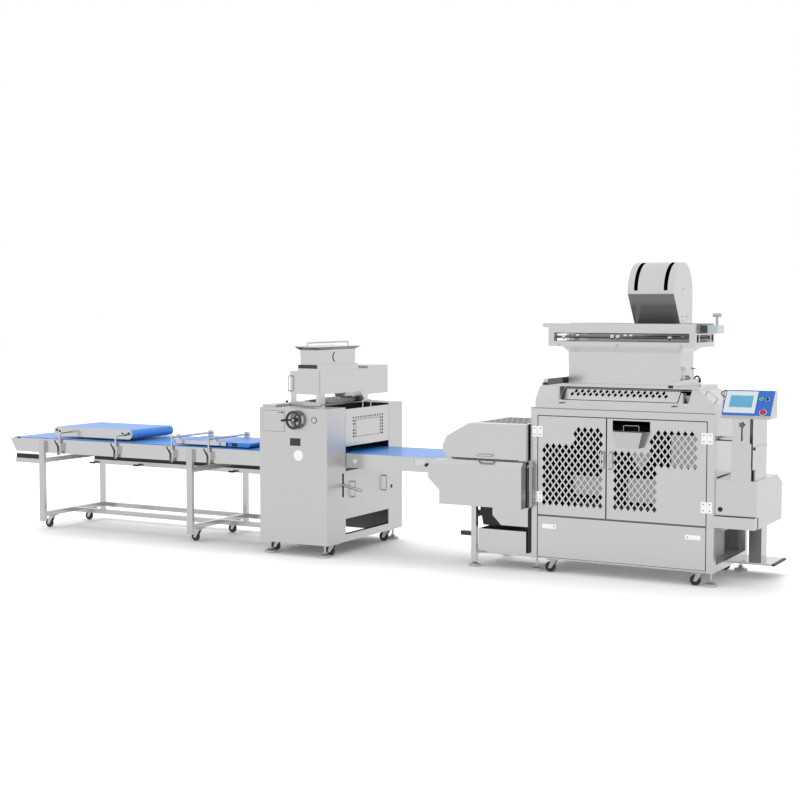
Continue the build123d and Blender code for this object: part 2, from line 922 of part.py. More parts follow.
# Hopper frame: slotted front and rear beams, partition rods, hood bearers, and the slide rails
ring_slot = (ring_bottom + ring_lower_height, ring_bottom + ring_lower_height + ring_slot_height)
ring_top = ring_slot[1] + ring_upper_height
side_y = (ring_y[0] + ring_tube, ring_y[1] - ring_tube)
hood_x = (hood_left, hood_left + hood_width)
frame_pieces = []
for y in (ring_y[0], side_y[1]):
    beam_y = (y, y + ring_tube)
    frame_pieces.append(bar(ring_x, beam_y, (ring_bottom, ring_slot[0])))
    frame_pieces.append(bar(ring_x, beam_y, (ring_slot[1], ring_top)))
    for x in (ring_x[0], ring_x[1] - ring_post_width):
        frame_pieces.append(bar((x, x + ring_post_width), beam_y, ring_slot))
rod_ys = (side_y[0] + 2 * ring_tube, side_y[1] - 2 * ring_tube)
lip_z = (ring_slot[1] - ring_lip_height, ring_slot[1])
for x in (ring_x[0], ring_x[1] - ring_tube):
    tube_x = (x, x + ring_tube)
    frame_pieces.append(bar(tube_x, side_y, (ring_bottom, ring_slot[0])))
    frame_pieces.append(bar(tube_x, side_y, lip_z))
    for y in rod_ys:
        stay_y = (y - partition_rod_radius, y + partition_rod_radius)
        frame_pieces.append(bar(tube_x, stay_y, (ring_slot[0], lip_z[0])))
for x in (hood_x[0], hood_x[1] - ring_tube):
    frame_pieces.append(bar((x, x + ring_tube), side_y, (ring_top - ring_tube, ring_top)))
rod_z = (ring_slot[0] + ring_slot[1]) / 2
rod_x = (ring_x[0] + ring_tube, ring_x[1] - ring_tube)
knob_length = 2 * partition_knob_radius
knob_places = (0.04, 0.38, 0.42, 0.77)
for y in rod_ys:
    with BuildPart() as partition_rod:
        with BuildSketch(side(rod_x[0])):
            with Locations((y, rod_z)):
                Circle(partition_rod_radius)
        extrude(amount=rod_x[1] - rod_x[0])
        for place in knob_places:
            with BuildSketch(side(rod_x[0] + place * ring_width)):
                with Locations((y, rod_z)):
                    Circle(partition_knob_radius)
            extrude(amount=knob_length)
    frame_pieces.append(partition_rod.part)
stop_x = (ring_x[0] - ring_post_width, ring_x[0])
frame_pieces.append(bar(stop_x, (ring_y[0], side_y[0]), (ring_top - ring_tube, ring_top)))
block_y = (side_y[1] - ring_depth / 2, side_y[1] - ring_depth / 6)
block_x = (ring_x[1] - ring_tube, ring_x[1] + 3.5 * ring_tube)
block_z = (ring_slot[1], ring_slot[1] + 2 * ring_tube)
frame_pieces.append(bar(block_x, block_y, block_z))
block_knob = (block_x[1] - ring_tube, (block_y[0] + block_y[1]) / 2)
knob_stem = ((*block_knob, block_z[1]), (*block_knob, block_z[1] + 2.5 * ring_tube))
frame_pieces.append(t_handle(*knob_stem, (ring_tube, 0, 0), ring_tube * 0.45))
rail_z = (hopper_bottom, hopper_bottom + rail_height)
rail_y = (hopper_y[0] - rail_reach, hopper_y[1])
plug_z = (rail_z[0], rail_z[0] + rail_plug)
for x in (hopper_x[0] - rail_gap - rail_width, hopper_x[1] + rail_gap):
    frame_pieces.append(bar((x, x + rail_width), rail_y, rail_z))
    frame_pieces.append(bar((x, x + rail_width), (rail_y[0] - plate, rail_y[0]), plug_z))
clamp_x = hopper_x[1] + rail_gap + rail_width / 2
for y in (rail_clamp_first, rail_clamp_first + rail_clamp_spacing):
    stem = ((clamp_x, y, rail_z[1]), (clamp_x, y, rail_z[1] + rail_clamp_rise))
    frame_pieces.append(t_handle(*stem, (3 * handle_radius, 0, 0), handle_radius))
write(frame_pieces, "hopper_frame", divider)

# Feed hood: a folded chute with a rounded top and two curved slots
hood_back = ring_y[1]
hood_knee_z = ring_top + hood_knee
hood_arc_z = ring_top + hood_arc_height
hood_radius = (hood_back - hood_front) / 2
hood_top = hood_arc_z + hood_radius
with BuildPart() as feed_hood:
    with BuildSketch(side(hood_x[0])):
        with BuildLine():
            Polyline(
                (hood_front, hood_arc_z),
                (hood_front, hood_knee_z),
                (hood_front + hood_slant, ring_top),
                (hood_back, ring_top),
                (hood_back, hood_arc_z),
            )
            crown = (hood_front + hood_radius, hood_top)
            ThreePointArc((hood_back, hood_arc_z), crown, (hood_front, hood_arc_z))
        make_face()
    extrude(amount=hood_width)
    hood_mouth = feed_hood.faces().sort_by(Axis.Z)[0]
    offset(amount=-sheet, openings=hood_mouth, kind=Kind.INTERSECTION)
    slot_y = (hood_front - sheet, hood_front + hood_radius)
    slot_z = (hood_arc_z + 2 * sheet, hood_top + sheet)
    for x in (hood_x[0] + hood_slot_inset, hood_x[1] - hood_slot_inset - hood_slot_width):
        span((x, x + hood_slot_width), slot_y, slot_z, mode=Mode.SUBTRACT)
write([feed_hood.part], "feed_hood", divider)

# Side housing with its tray runners and pedestal
housing_x = (divider_width, divider_width + housing_width)
housing_y = (housing_front, housing_front + housing_depth)
housing_shoulder = housing_depth * 0.2
with BuildPart() as housing:
    with BuildSketch(side(housing_x[0])):
        with BuildLine():
            Polyline(
                (housing_y[0], housing_floor),
                (housing_y[0], housing_top),
                (housing_y[1] - housing_shoulder, housing_top),
                (housing_y[1], housing_top - housing_shoulder / 2),
                (housing_y[1], housing_floor),
                close=True,
            )
        make_face()
    extrude(amount=housing_width)
    with BuildSketch(front(housing_y[0])):
        with Locations((housing_x[0] + 1.5 * ring_tube, housing_floor + 1.5 * ring_tube)):
            Circle(ring_tube / 3)
    extrude(amount=-ring_tube, mode=Mode.SUBTRACT)
housing_pieces = [housing.part]
skirt_y = (housing_y[0] + post, housing_y[1])
skirt_z = (housing_bottom, housing_floor)
runner = 8 * sheet
for wall, lip in ((housing_x[0], 1), (housing_x[1], -1)):
    inner = wall + lip * sheet
    housing_pieces.append(bar(sorted((wall, inner)), skirt_y, skirt_z))
    runner_x = sorted((inner, inner + lip * runner))
    housing_pieces.append(bar(runner_x, skirt_y, (housing_bottom, housing_bottom + sheet)))
pedestal_left = housing_x[0] + (housing_width - pedestal_width) / 2
pedestal_x = (pedestal_left, pedestal_left + pedestal_width)
pedestal_y = (housing_y[1] - pedestal_depth - 4 * plate, housing_y[1] - 4 * plate)
base_z = (frame_bottom, frame_bottom + 3 * plate)
housing_pieces.append(bar(pedestal_x, pedestal_y, (base_z[1], housing_floor)))
base_y = (pedestal_y[0] - 2 * plate, divider_depth)
housing_pieces.append(bar((divider_width, housing_x[1]), base_y, base_z))
write(housing_pieces, "side_housing", divider)

tray_x = (housing_x[0] + 2 * sheet, housing_x[1] - 2 * sheet)
tray_y = (housing_front - 2 * handle_radius * 3, housing_front - 2 * handle_radius * 3 + tray_depth)
tray_z = (housing_bottom + sheet + seat_gap, housing_floor - sheet)
with BuildPart() as side_tray:
    span(tray_x, tray_y, tray_z)
    tray_top = side_tray.faces().sort_by(Axis.Z)[-1]
    offset(amount=-sheet, openings=tray_top, kind=Kind.INTERSECTION)
write([side_tray.part], "side_tray", divider)

# Control tower: open column, inner panel, base, tie tube and the console box on top
tower_x = (divider_width + tower_left, divider_width + tower_left + tower_width)
tower_y = (-housing_front, tower_depth - housing_front)
tower_z = (tower_bottom, console_bottom)
slot_x = (tower_x[1] - sheet - tower_slot, tower_x[1] - sheet)
cutaway_z = (tower_bottom, (tower_bottom + console_bottom) / 2)
knob_x = tower_x[0] + tower_width * 0.45
knob_z = console_bottom - 2.2 * knob_radius
knob_stem_radius = knob_radius / 4
with BuildPart() as column:
    with BuildSketch(Plane.XY.offset(tower_z[0])):
        outline(tower_x, tower_y)
        with Locations(((tower_x[0] + tower_x[1]) / 2, (tower_y[0] + tower_y[1]) / 2)):
            Rectangle(tower_width - 2 * sheet, tower_depth - 2 * sheet, mode=Mode.SUBTRACT)
    extrude(amount=tower_z[1] - tower_z[0])
    span(slot_x, (tower_y[0], tower_y[0] + sheet), tower_z, mode=Mode.SUBTRACT)
    span((tower_x[0], slot_x[0]), (tower_y[0], tower_y[0] + tower_slot * 4), cutaway_z, mode=Mode.SUBTRACT)
    with BuildSketch(front(tower_y[0])):
        with Locations((knob_x, knob_z - knob_radius * 2.5)):
            SlotCenterToCenter(knob_radius * 5, 2 * knob_stem_radius + 2, rotation=90)
    extrude(amount=-sheet, mode=Mode.SUBTRACT)
console_x = (divider_width + control_overhang - console_width, divider_width + control_overhang)
console_top = console_bottom + console_height
console_y = (console_back - console_foot, console_back)
with BuildPart() as console:
    with BuildSketch(side(console_x[0])):
        with BuildLine():
            Polyline(
                (console_y[0], console_bottom),
                (console_y[0] + console_lean, console_top),
                (console_y[1], console_top),
                (console_y[1], console_bottom),
                close=True,
            )
        make_face()
    extrude(amount=console_width)
    sloping = console.faces().sort_by(Axis.Y)[0]
    offset(amount=-sheet, openings=sloping, kind=Kind.INTERSECTION)
panel_y = tower_y[0] + 2 * tower_slot
tower_pieces = [column.part, console.part]
inner_panel_x = (tower_x[0] - tower_slot, slot_x[0])
tower_pieces.append(bar(inner_panel_x, (panel_y, panel_y + sheet), (housing_top, cutaway_z[1])))
tower_base_y = (panel_y + 2 * tower_slot, tower_y[1])
tower_pieces.append(bar(tower_x, tower_base_y, (housing_top, tower_bottom)))
tie_y = tower_y[0] + tower_depth / 3
tie_z = cutaway_z[1] + tower_slot
tie_start = divider_width - post / 3
tower_pieces.append(rod((tie_start, tie_y, tie_z), (tower_x[0], tie_y, tie_z), tower_slot * 0.8))
latch_bar_z = (cutaway_z[1] - 2 * tower_slot, cutaway_z[1] - tower_slot)
latch_bar_y = (tower_y[0] + tower_slot, tower_y[1] - tower_slot)
tower_pieces.append(bar((tower_x[1], tower_x[1] + tower_slot / 2), latch_bar_y, latch_bar_z))
grip_low = (console_x[0], console_y[1] - console_foot / 4, console_bottom + console_height / 3)
grip_high = (console_x[0], console_y[1] - console_foot / 8, console_top - 2 * handle_radius)
tower_pieces.append(bow(grip_low, grip_high, (-5 * handle_radius, 0, 0), handle_radius * 0.8))
write(tower_pieces, "control_tower", divider)

# Star knob in the tower's slot
with BuildPart() as star_knob:
    with BuildSketch(front(tower_y[0] - seat_gap)):
        with Locations((knob_x, knob_z)):
            Circle(knob_radius * 0.7)
            with PolarLocations(knob_radius * 0.65, knob_lobes):
                Circle(knob_radius * 0.35)
    extrude(amount=knob_radius * 0.8)
    with BuildSketch(front(tower_y[0] - seat_gap)):
        with Locations((knob_x, knob_z)):
            Circle(knob_stem_radius)
    extrude(amount=-knob_radius)
write([star_knob.part], "star_knob", divider)

# Fascia with its touch screen, and the operating buttons that stand in it
slope = (console_lean**2 + console_height**2) ** 0.5
fascia_plane = Plane(
    origin=(console_x[0], console_y[0], console_bottom),
    x_dir=(1, 0, 0),
    z_dir=(0, -console_height, console_lean),
)
face_plane = fascia_plane.offset(fascia)
start_at = (console_width * 0.75, slope * 0.70)
selector_at = (console_width * 0.88, slope * 0.69)
stop_at = (console_width * 0.836, slope * 0.24)
start_travel = 4
stop_travel = 6
with BuildPart() as fascia_plate:
    with BuildSketch(fascia_plane):
        with Locations((console_width / 2, slope / 2)):
            Rectangle(console_width, slope)
        for at, radius in ((start_at, start_radius), (selector_at, selector_radius), (stop_at, stop_radius)):
            with Locations(at):
                Circle(radius * 0.6 + seat_gap, mode=Mode.SUBTRACT)
    extrude(amount=fascia)
screen_at = (console_width * 0.35, slope * 0.515)
with BuildPart() as screen:
    with BuildSketch(face_plane):
        with Locations(screen_at):
            Rectangle(screen_width, screen_height)
    extrude(amount=plate)
    with BuildSketch(face_plane.offset(plate)):
        with Locations(screen_at):
            Rectangle(display_width, display_height)
    extrude(amount=-plate / 4, mode=Mode.SUBTRACT)
write([fascia_plate.part, screen.part], "control_fascia", divider)


def push_button(at, radius, travel, cap, taper):
    """A round button held clear of the fascia by its travel, with a stem through the hole."""
    with BuildPart() as button:
        with BuildSketch(fascia_plane.offset(-4 * fascia)):
            with Locations(at):
                Circle(radius * 0.6)
        extrude(amount=5 * fascia + travel + seat_gap)
        with BuildSketch(face_plane.offset(travel + seat_gap)):
            with Locations(at):
                Circle(radius)
        extrude(amount=cap, taper=taper)
    return button.part


write([push_button(start_at, start_radius, start_travel, start_radius / 2, 0)], "start_button", divider)
write([push_button(stop_at, stop_radius, stop_travel, stop_radius * 0.6, 20)], "emergency_stop", divider)
with BuildPart() as selector_switch:
    with BuildSketch(fascia_plane.offset(-4 * fascia)):
        with Locations(selector_at):
            Circle(selector_radius * 0.6)
    extrude(amount=5 * fascia + seat_gap)
    with BuildSketch(face_plane.offset(seat_gap)):
        with Locations(selector_at):
            Circle(selector_radius)
    extrude(amount=selector_radius / 2)
    with BuildSketch(face_plane.offset(seat_gap)):
        with Locations(selector_at):
            Rectangle(selector_radius * 0.6, selector_radius * 1.7)
    extrude(amount=selector_radius * 1.4)
write([selector_switch.part], "selector_switch", divider)

# Outfeed unit: side plates on two legs, tied to the cabinet, with the scrap chute below
outfeed_right = -outfeed_gap
outfeed_left = outfeed_right - outfeed_hood_length - 2 * plate
outfeed_y = (-hood_front_reach, outfeed_depth - hood_front_reach)
frame_y = (outfeed_y[0] + 75, outfeed_y[1] + 2 * plate)
lug_y = frame_y[1] - 2 * plate
lug_z = outfeed_hood_bottom
pin = 5
barrel = 6
hinge_x = outfeed_right + barrel - 1
hinge_y = cover_depth - cover_reach - barrel
leg_x = (-leg_left, leg_size - leg_left)
leg_top = outfeed_hood_bottom - 2 * leg_size
tie_low = door_bottom - post + plate
shelf_z = (bin_bottom - leg_size, bin_bottom)
plates_top = outfeed_hood_bottom - plate


def lug(x, y, z, at, along, radius):
    """A small ear with a bore for a hinge pin."""
    with BuildPart() as ear:
        span(x, y, z)
        with BuildSketch(Plane(origin=at, z_dir=along)):
            Circle(radius + running_clearance)
        extrude(amount=outfeed_hood_length, both=True, mode=Mode.SUBTRACT)
    return ear.part


outfeed = [
    bar((outfeed_left, 0), (frame_y[0], frame_y[0] + plate), (cover_bottom, plates_top)),
    bar((outfeed_left, 0), (frame_y[1] - plate, frame_y[1]), (cover_bottom, plates_top)),
    bar((outfeed_left, outfeed_left + plate), (frame_y[0] + plate, frame_y[1] - plate),
        (cover_bottom, belt_height - infeed_panel_height)),
]
leg_ys = (frame_y[0] + plate, frame_y[1] - plate - leg_size)
for y in leg_ys:
    outfeed.append(bar(leg_x, (y, y + leg_size), (leg_bottom, leg_top)))
for z, shares in ((tie_low, (0.55, 0.8)), (shelf_z[0], (0.15, 0.8))):
    outfeed.append(bar(leg_x, (leg_ys[0] + leg_size, leg_ys[1]), (z, z + leg_size)))
    for share in shares:
        y = bin_depth * share
        outfeed.append(bar((leg_x[1], 0), (y, y + leg_size), (z, z + leg_size)))
arm_y = (leg_ys[0] + plate, leg_ys[0] + leg_size - plate)
arm_z = (outfeed_arm_bottom, outfeed_arm_bottom + outfeed_arm_height)
outfeed.append(bar((leg_x[0] - outfeed_arm_reach, leg_x[0]), arm_y, arm_z))
outfeed.append(bar((-sheet, 0), (frame_y[0] + plate, post / 2), (cover_bottom, plates_top)))
for x in ((outfeed_left, outfeed_left + 2 * plate - seat_gap), (outfeed_right + seat_gap, -seat_gap)):
    lug_at = (x[0], lug_y, lug_z)
    ear_y = (lug_y - 2 * barrel, frame_y[1])
    outfeed.append(lug(x, ear_y, (plates_top, lug_z + 2 * barrel), lug_at, (1, 0, 0), pin))
cover_ear_x = (outfeed_right + seat_gap, -seat_gap)
lower_ear_z = (cover_bottom - 2 * barrel, cover_bottom - seat_gap)
upper_ear_z = (cover_step + seat_gap, cover_step + 2 * barrel)
for z in (lower_ear_z, upper_ear_z):
    lug_at = (hinge_x, hinge_y, z[0])
    outfeed.append(lug(cover_ear_x, (hinge_y - barrel, frame_y[0]), z, lug_at, (0, 0, 1), pin))
chute_y = (frame_y[0] + plate + leg_size, bin_depth * 0.55)
chute_top = cover_bottom
chute_low = bin_bottom + bin_height + leg_size / 2
chute_head = (leg_x[1] + 2 * plate, leg_x[1] + 2 * plate + chute_width)
chute_foot = (chute_head[0] + chute_shift, chute_head[1] + chute_flare)
with BuildPart() as chute:
    with BuildSketch(front(chute_y[0])):
        with BuildLine():
            Polyline(
                (chute_head[0], chute_top),
                (chute_head[1], chute_top),
                (chute_foot[1], chute_low),
                (chute_foot[0], chute_low),
                close=True,
            )
        make_face()
    extrude(amount=-(chute_y[1] - chute_y[0]))
    chute_ends = chute.faces().filter_by(Axis.Z).sort_by(Axis.Z)
    offset(amount=-sheet, openings=[chute_ends[0], chute_ends[-1]], kind=Kind.INTERSECTION)
outfeed.append(chute.part)
with BuildPart() as chute_guard:
    with BuildSketch(front(chute_y[0] - sheet)):
        with BuildLine():
            Polyline(
                (chute_head[1], chute_top + chute_lap),
                (outfeed_right, chute_top + chute_lap),
                (outfeed_right, chute_low + chute_lap),
                (chute_foot[1], chute_low + chute_lap),
                (chute_head[1], (chute_top + chute_low) / 2),
                close=True,
            )
        make_face()
    extrude(amount=-sheet)
outfeed.append(chute_guard.part)
write(outfeed, "outfeed_frame", divider)

# Outfeed hood: a folded cover with an expanded-metal roof, hinged along its rear edge
hood_left_x = outfeed_right - outfeed_hood_length
nose_low = outfeed_hood_bottom + 47
nose_high = outfeed_hood_bottom + 102
brow = (hood_left_x + 35, outfeed_hood_bottom + 171)
roof_left = hood_left_x + 227
throat_left = hood_left_x + 45
mesh_margin = 40
mesh_columns = 8
mesh_rows = 5
mesh_x = (roof_left + mesh_margin, outfeed_right - mesh_margin)
mesh_y = (outfeed_y[0] + 3 * mesh_margin, outfeed_y[1] - mesh_margin)
mesh_step = ((mesh_x[1] - mesh_x[0]) / mesh_columns, (mesh_y[1] - mesh_y[0]) / mesh_rows)
mesh_mid = ((mesh_x[0] + mesh_x[1]) / 2, (mesh_y[0] + mesh_y[1]) / 2)
roof_z = (outfeed_hood_top - sheet, outfeed_hood_top)
with BuildPart() as hood_shell:
    with BuildSketch(front(outfeed_y[0])):
        with BuildLine():
            Polyline(
                (throat_left, outfeed_hood_bottom),
                (hood_left_x, nose_low),
                (hood_left_x, nose_high),
                brow,
                (roof_left, outfeed_hood_top),
                (outfeed_right, outfeed_hood_top),
                (outfeed_right, outfeed_hood_bottom),
                close=True,
            )
        make_face()
    extrude(amount=-outfeed_depth)
    chamfer(hood_shell.edges().filter_by(Axis.Z).group_by(Axis.Y)[0].sort_by(Axis.X)[-1], mesh_margin)
    hood_floor = hood_shell.faces().sort_by(Axis.Z)[0]
    offset(amount=-sheet, openings=hood_floor, kind=Kind.INTERSECTION)
    span(mesh_x, mesh_y, roof_z, mode=Mode.SUBTRACT)
    with BuildSketch(side(hood_left_x)):
        with Locations((lug_y, lug_z)):
            Circle(barrel)
    extrude(amount=outfeed_hood_length)
    with BuildSketch(side(hood_left_x - 2 * plate + seat_gap)):
        with Locations((lug_y, lug_z)):
            Circle(pin)
    extrude(amount=outfeed_hood_length + 4 * plate - 2 * seat_gap)
with BuildPart() as roof_mesh:
    with BuildSketch(Plane.XY.offset(roof_z[0])):
        outline(mesh_x, mesh_y)
        with Locations(mesh_mid):
            with GridLocations(*mesh_step, mesh_columns, mesh_rows):
                diamond(mesh_step[0] * 0.8, mesh_step[1] * 0.8)
    extrude(amount=sheet)
pull_z = outfeed_hood_bottom + 33
pull = [(x, outfeed_y[0], pull_z) for x in (roof_left + 77, roof_left + 204)]
hood_pull = bow(*pull, (0, -door_handle_reach * 0.8, 0), handle_radius * 1.3)
write([hood_shell.part, roof_mesh.part, hood_pull], "outfeed_hood", divider)

# Outfeed cover: a hollow door in front of the unit, hinged on the cabinet's corner
cover_left = outfeed_right - cover_length
cover_top = outfeed_hood_bottom - cover_gap
cover_bevel = cover_top - cover_step
with BuildPart() as outfeed_cover:
    with BuildSketch(front(-cover_reach)):
        with BuildLine():
            Polyline(
                (outfeed_right, cover_bottom),
                (cover_left + 104, cover_bottom),
                (cover_left + 104, cover_bottom + 107),
                (cover_left + 6, cover_bottom + 200),
                (cover_left, cover_bottom + 290),
                (cover_left + 45, cover_top - 8),
                (cover_left + 139, cover_top),
                (outfeed_right, cover_top),
                close=True,
            )
        make_face()
    extrude(amount=-cover_depth)
    chamfer(outfeed_cover.edges().filter_by(Axis.X).group_by(Axis.Z)[-1].sort_by(Axis.Y)[0], cover_bevel)
    cover_back = outfeed_cover.faces().sort_by(Axis.Y)[-1]
    offset(amount=-sheet, openings=cover_back, kind=Kind.INTERSECTION)
    with BuildSketch(Plane.XY.offset(cover_step)):
        with Locations((hinge_x, hinge_y)):
            Circle(3 * barrel)
    extrude(amount=cover_bevel, mode=Mode.SUBTRACT)
    with BuildSketch(Plane.XY.offset(cover_bottom)):
        with Locations((hinge_x, hinge_y)):
            Circle(barrel)
    extrude(amount=cover_step - cover_bottom)
    with BuildSketch(Plane.XY.offset(cover_bottom - 2 * barrel)):
        with Locations((hinge_x, hinge_y)):
            Circle(pin)
    extrude(amount=cover_step - cover_bottom + 4 * barrel)
write([outfeed_cover.part], "outfeed_cover", divider)

# Scrap bin on the shelf bars
bin_x = (outfeed_right - bin_gap - bin_width, outfeed_right - bin_gap)
bin_y = (outfeed_y[0] + 60, outfeed_y[0] + 60 + bin_depth)
with BuildPart() as scrap_bin:
    span(bin_x, bin_y, (bin_bottom + seat_gap, bin_bottom + bin_height))
    bin_mouth = scrap_bin.faces().sort_by(Axis.Z)[-1]
    offset(amount=-sheet, openings=bin_mouth, kind=Kind.INTERSECTION)
write([scrap_bin.part], "scrap_bin", divider)

# Infeed conveyor: side panels, bed and nose bar inside the belt, and the drive roller
infeed_x = (-transfer_gap - infeed_reach, outfeed_left + plate)
infeed_y = (infeed_front - 18, infeed_front - 18 + infeed_width + 40)
infeed_inner = (infeed_y[0] + sheet, infeed_y[1] - sheet)
infeed_belt_y = (infeed_front - 10, infeed_front - 10 + infeed_width + 24)
infeed_panel_z = (belt_height - infeed_panel_height, belt_height)
loop_radius = roller_radius + seat_gap + belt_thickness
infeed_axis_z = belt_height - loop_radius
drive_x = infeed_x[0] + roller_radius + 2 * plate
nose_x = -infeed_end - loop_radius
journal = 12
window_mid = nose_x - infeed_window_setback
window = (window_mid - infeed_window / 2, window_mid + infeed_window / 2)
window_z = (infeed_axis_z - infeed_window_height / 2, infeed_axis_z + infeed_window_height / 2)


def conveyor_panel(y, pierced):
    """A side panel with the roller's bearing and, in front, a tensioning window."""
    with BuildPart() as panel:
        span(infeed_x, y, infeed_panel_z)
        if pierced:
            span(window, y, window_z, mode=Mode.SUBTRACT)
        with BuildSketch(front(y[0])):
            with Locations((drive_x, infeed_axis_z)):
                Circle(journal + running_clearance)
        extrude(amount=-sheet, mode=Mode.SUBTRACT)
    return panel.part


bed_top = belt_height - belt_thickness - seat_gap
infeed = [
    conveyor_panel((infeed_y[0], infeed_inner[0]), True),
    conveyor_panel((infeed_inner[1], infeed_y[1]), False),
    rod((nose_x, infeed_inner[0], infeed_axis_z), (nose_x, infeed_inner[1], infeed_axis_z), roller_radius),
    bar((drive_x + roller_radius, nose_x - roller_radius), infeed_inner, (bed_top - 2 * plate, bed_top)),
]
infeed_knob = (-transfer_gap + 93, infeed_y[0], infeed_axis_z - infeed_knob_radius)
knob_face = (infeed_knob[0], infeed_knob[1] - journal, infeed_knob[2])
infeed.append(rod(infeed_knob, knob_face, infeed_knob_radius))
write(infeed, "infeed_frame", divider)
infeed_belt = belt_loop((drive_x - loop_radius, -infeed_end), infeed_belt_y, belt_height, loop_radius)
write([infeed_belt], "infeed_belt", divider)
infeed_roller = roller(drive_x, infeed_axis_z, infeed_belt_y, infeed_y, roller_radius, journal)
write([infeed_roller], "infeed_roller", divider)

# Moulder housing: two cheeks with the rollers between them, panels, bridge and instruments
between = (front_cheek, moulder_depth - rear_cheek)
sheeting_x = moulder_width / 2
upper_z = nip_height + sheeting_gap / 2 + sheeting_radius
lower_z = nip_height - sheeting_gap / 2 - sheeting_radius
moulder_guard_top = moulder_top - 15
moulder_guard_axis = (moulder_width - sheet - plate, moulder_guard_top - 2 * plate)
guard_rod = 6
lever_y = front_cheek - 41
pocket_half = lever_radius + 1
lever_tilt = radians(lever_drop)
wheel_bearing = 60
bridge_z = (moulder_top - 111, moulder_top - 81)
carriage_x = (sheeting_x - 36, sheeting_x + 36)
spindle_ys = (between[0] + 163, between[1] - 163)


def moulder_cheek(y, inner_face, hand):
    """One upright cheek with blind bearings for the lower roller and the guard's rod."""
    with BuildPart() as upright:
        span((0, moulder_width), y, (moulder_bottom, moulder_top))
        with BuildSketch(front(inner_face)):
            with Locations((sheeting_x, lower_z)):
                Circle(sheeting_shaft + running_clearance)
        extrude(amount=-hand * 2 * sheeting_shaft, mode=Mode.SUBTRACT)
        with BuildSketch(front(inner_face)):
            with Locations(moulder_guard_axis):
                Circle(guard_rod + running_clearance)
        extrude(amount=-hand * 4 * guard_rod, mode=Mode.SUBTRACT)
        if hand < 0:
            with BuildSketch(front(y[0])):
                with Locations((wheel_place, wheel_height)):
                    Circle(wheel_shaft + running_clearance)
            extrude(amount=-wheel_bearing, mode=Mode.SUBTRACT)
            pocket_y = (lever_y - pocket_half, lever_y + pocket_half)
            pocket_x = (lever_pivot_x - 2 * pocket_half, moulder_width)
            pocket_low = lever_pivot_z - (moulder_width - lever_pivot_x) * 0.5
            span(pocket_x, pocket_y, (pocket_low, lever_pivot_z + 1.5 * pocket_half), mode=Mode.SUBTRACT)
            with BuildSketch(front(lever_y)):
                with Locations((lever_pivot_x, lever_pivot_z)):
                    Circle(lever_pin + running_clearance)
            extrude(amount=2 * pocket_half, both=True, mode=Mode.SUBTRACT)
    return upright.part


with BuildPart() as bridge:
    span(carriage_x, between, bridge_z)
    with BuildSketch(Plane.XY.offset(bridge_z[0])):
        with Locations(*[(sheeting_x, y) for y in spindle_ys]):
            Circle(spindle_radius + running_clearance)
    extrude(amount=bridge_z[1] - bridge_z[0], mode=Mode.SUBTRACT)
base_z = (moulder_bottom, moulder_bottom + base_bar)
cover_z = (cover_low, cover_high)
bearer_z = (belt_height - infeed_panel_height - leg_size, belt_height - infeed_panel_height)
transfer_z = (belt_height + plate, belt_height + plate + sheet)
top_z = (moulder_top - sheet, moulder_top)
top_cover_y = (leg_size, moulder_depth - leg_size)
recess_x = (duster_left + duster_width, moulder_guard_axis[0] - 2 * guard_rod)
recess_z = (top_z[0] - top_recess, top_z[1] - top_recess)
housing_pieces = [
    moulder_cheek((0, front_cheek), front_cheek, -1),
    moulder_cheek((between[1], moulder_depth), between[1], 1),
    bridge.part,
    bar((0, leg_size), between, base_z),
    bar((moulder_width - leg_size, moulder_width), between, base_z),
    bar((0, sheet), between, cover_z),
    bar((moulder_width - sheet, moulder_width), between, cover_z),
    bar((moulder_width - 1.5 * leg_size, moulder_width - leg_size / 2), between, bearer_z),
    bar((leg_size, 2 * leg_size), between, (transfer_z[0] - leg_size, transfer_z[0])),
    bar((0, sheeting_x - sheeting_radius - 2 * plate), between, transfer_z),
    bar((0, duster_left), between, top_z),
    bar((0, duster_left - plate), top_cover_y, (moulder_top, moulder_top + top_cover_height)),
    bar(recess_x, between, recess_z),
]
pull_low = (cover_low + cover_high) / 2 - 25
pull_high = pull_low + door_handle_length
for y in (between[0] + 105, between[1] - 90):
    ends = [(moulder_width, y, z) for z in (pull_low, pull_high)]
    housing_pieces.append(bow(*ends, (door_handle_reach * 0.8, 0, 0), handle_radius))
access_x = (30, 242)
housing_pieces.append(bar(access_x, (-sheet, 0), (moulder_top - 193, moulder_top - 25)))
readout_x = (wheel_place - 57, wheel_place + 42)
housing_pieces.append(bar(readout_x, (-sheet, 0), (wheel_height - 211, wheel_height - 150)))
gauge = (wheel_place + 23, wheel_height - 289)
gauge_radius = 44
plug = (wheel_place + 175, wheel_height + 3)
plug_radius = 24
for (x, z), radius in ((gauge, gauge_radius), (plug, plug_radius)):
    housing_pieces.append(rod((x, 0, z), (x, -sheet, z), radius))
lock_radius = 10
lock = (moulder_width, between[1] + 49, cover_low + 192)
housing_pieces.append(rod(lock, (lock[0] + plate, *lock[1:]), lock_radius))
write(housing_pieces, "moulder_housing", moulder)

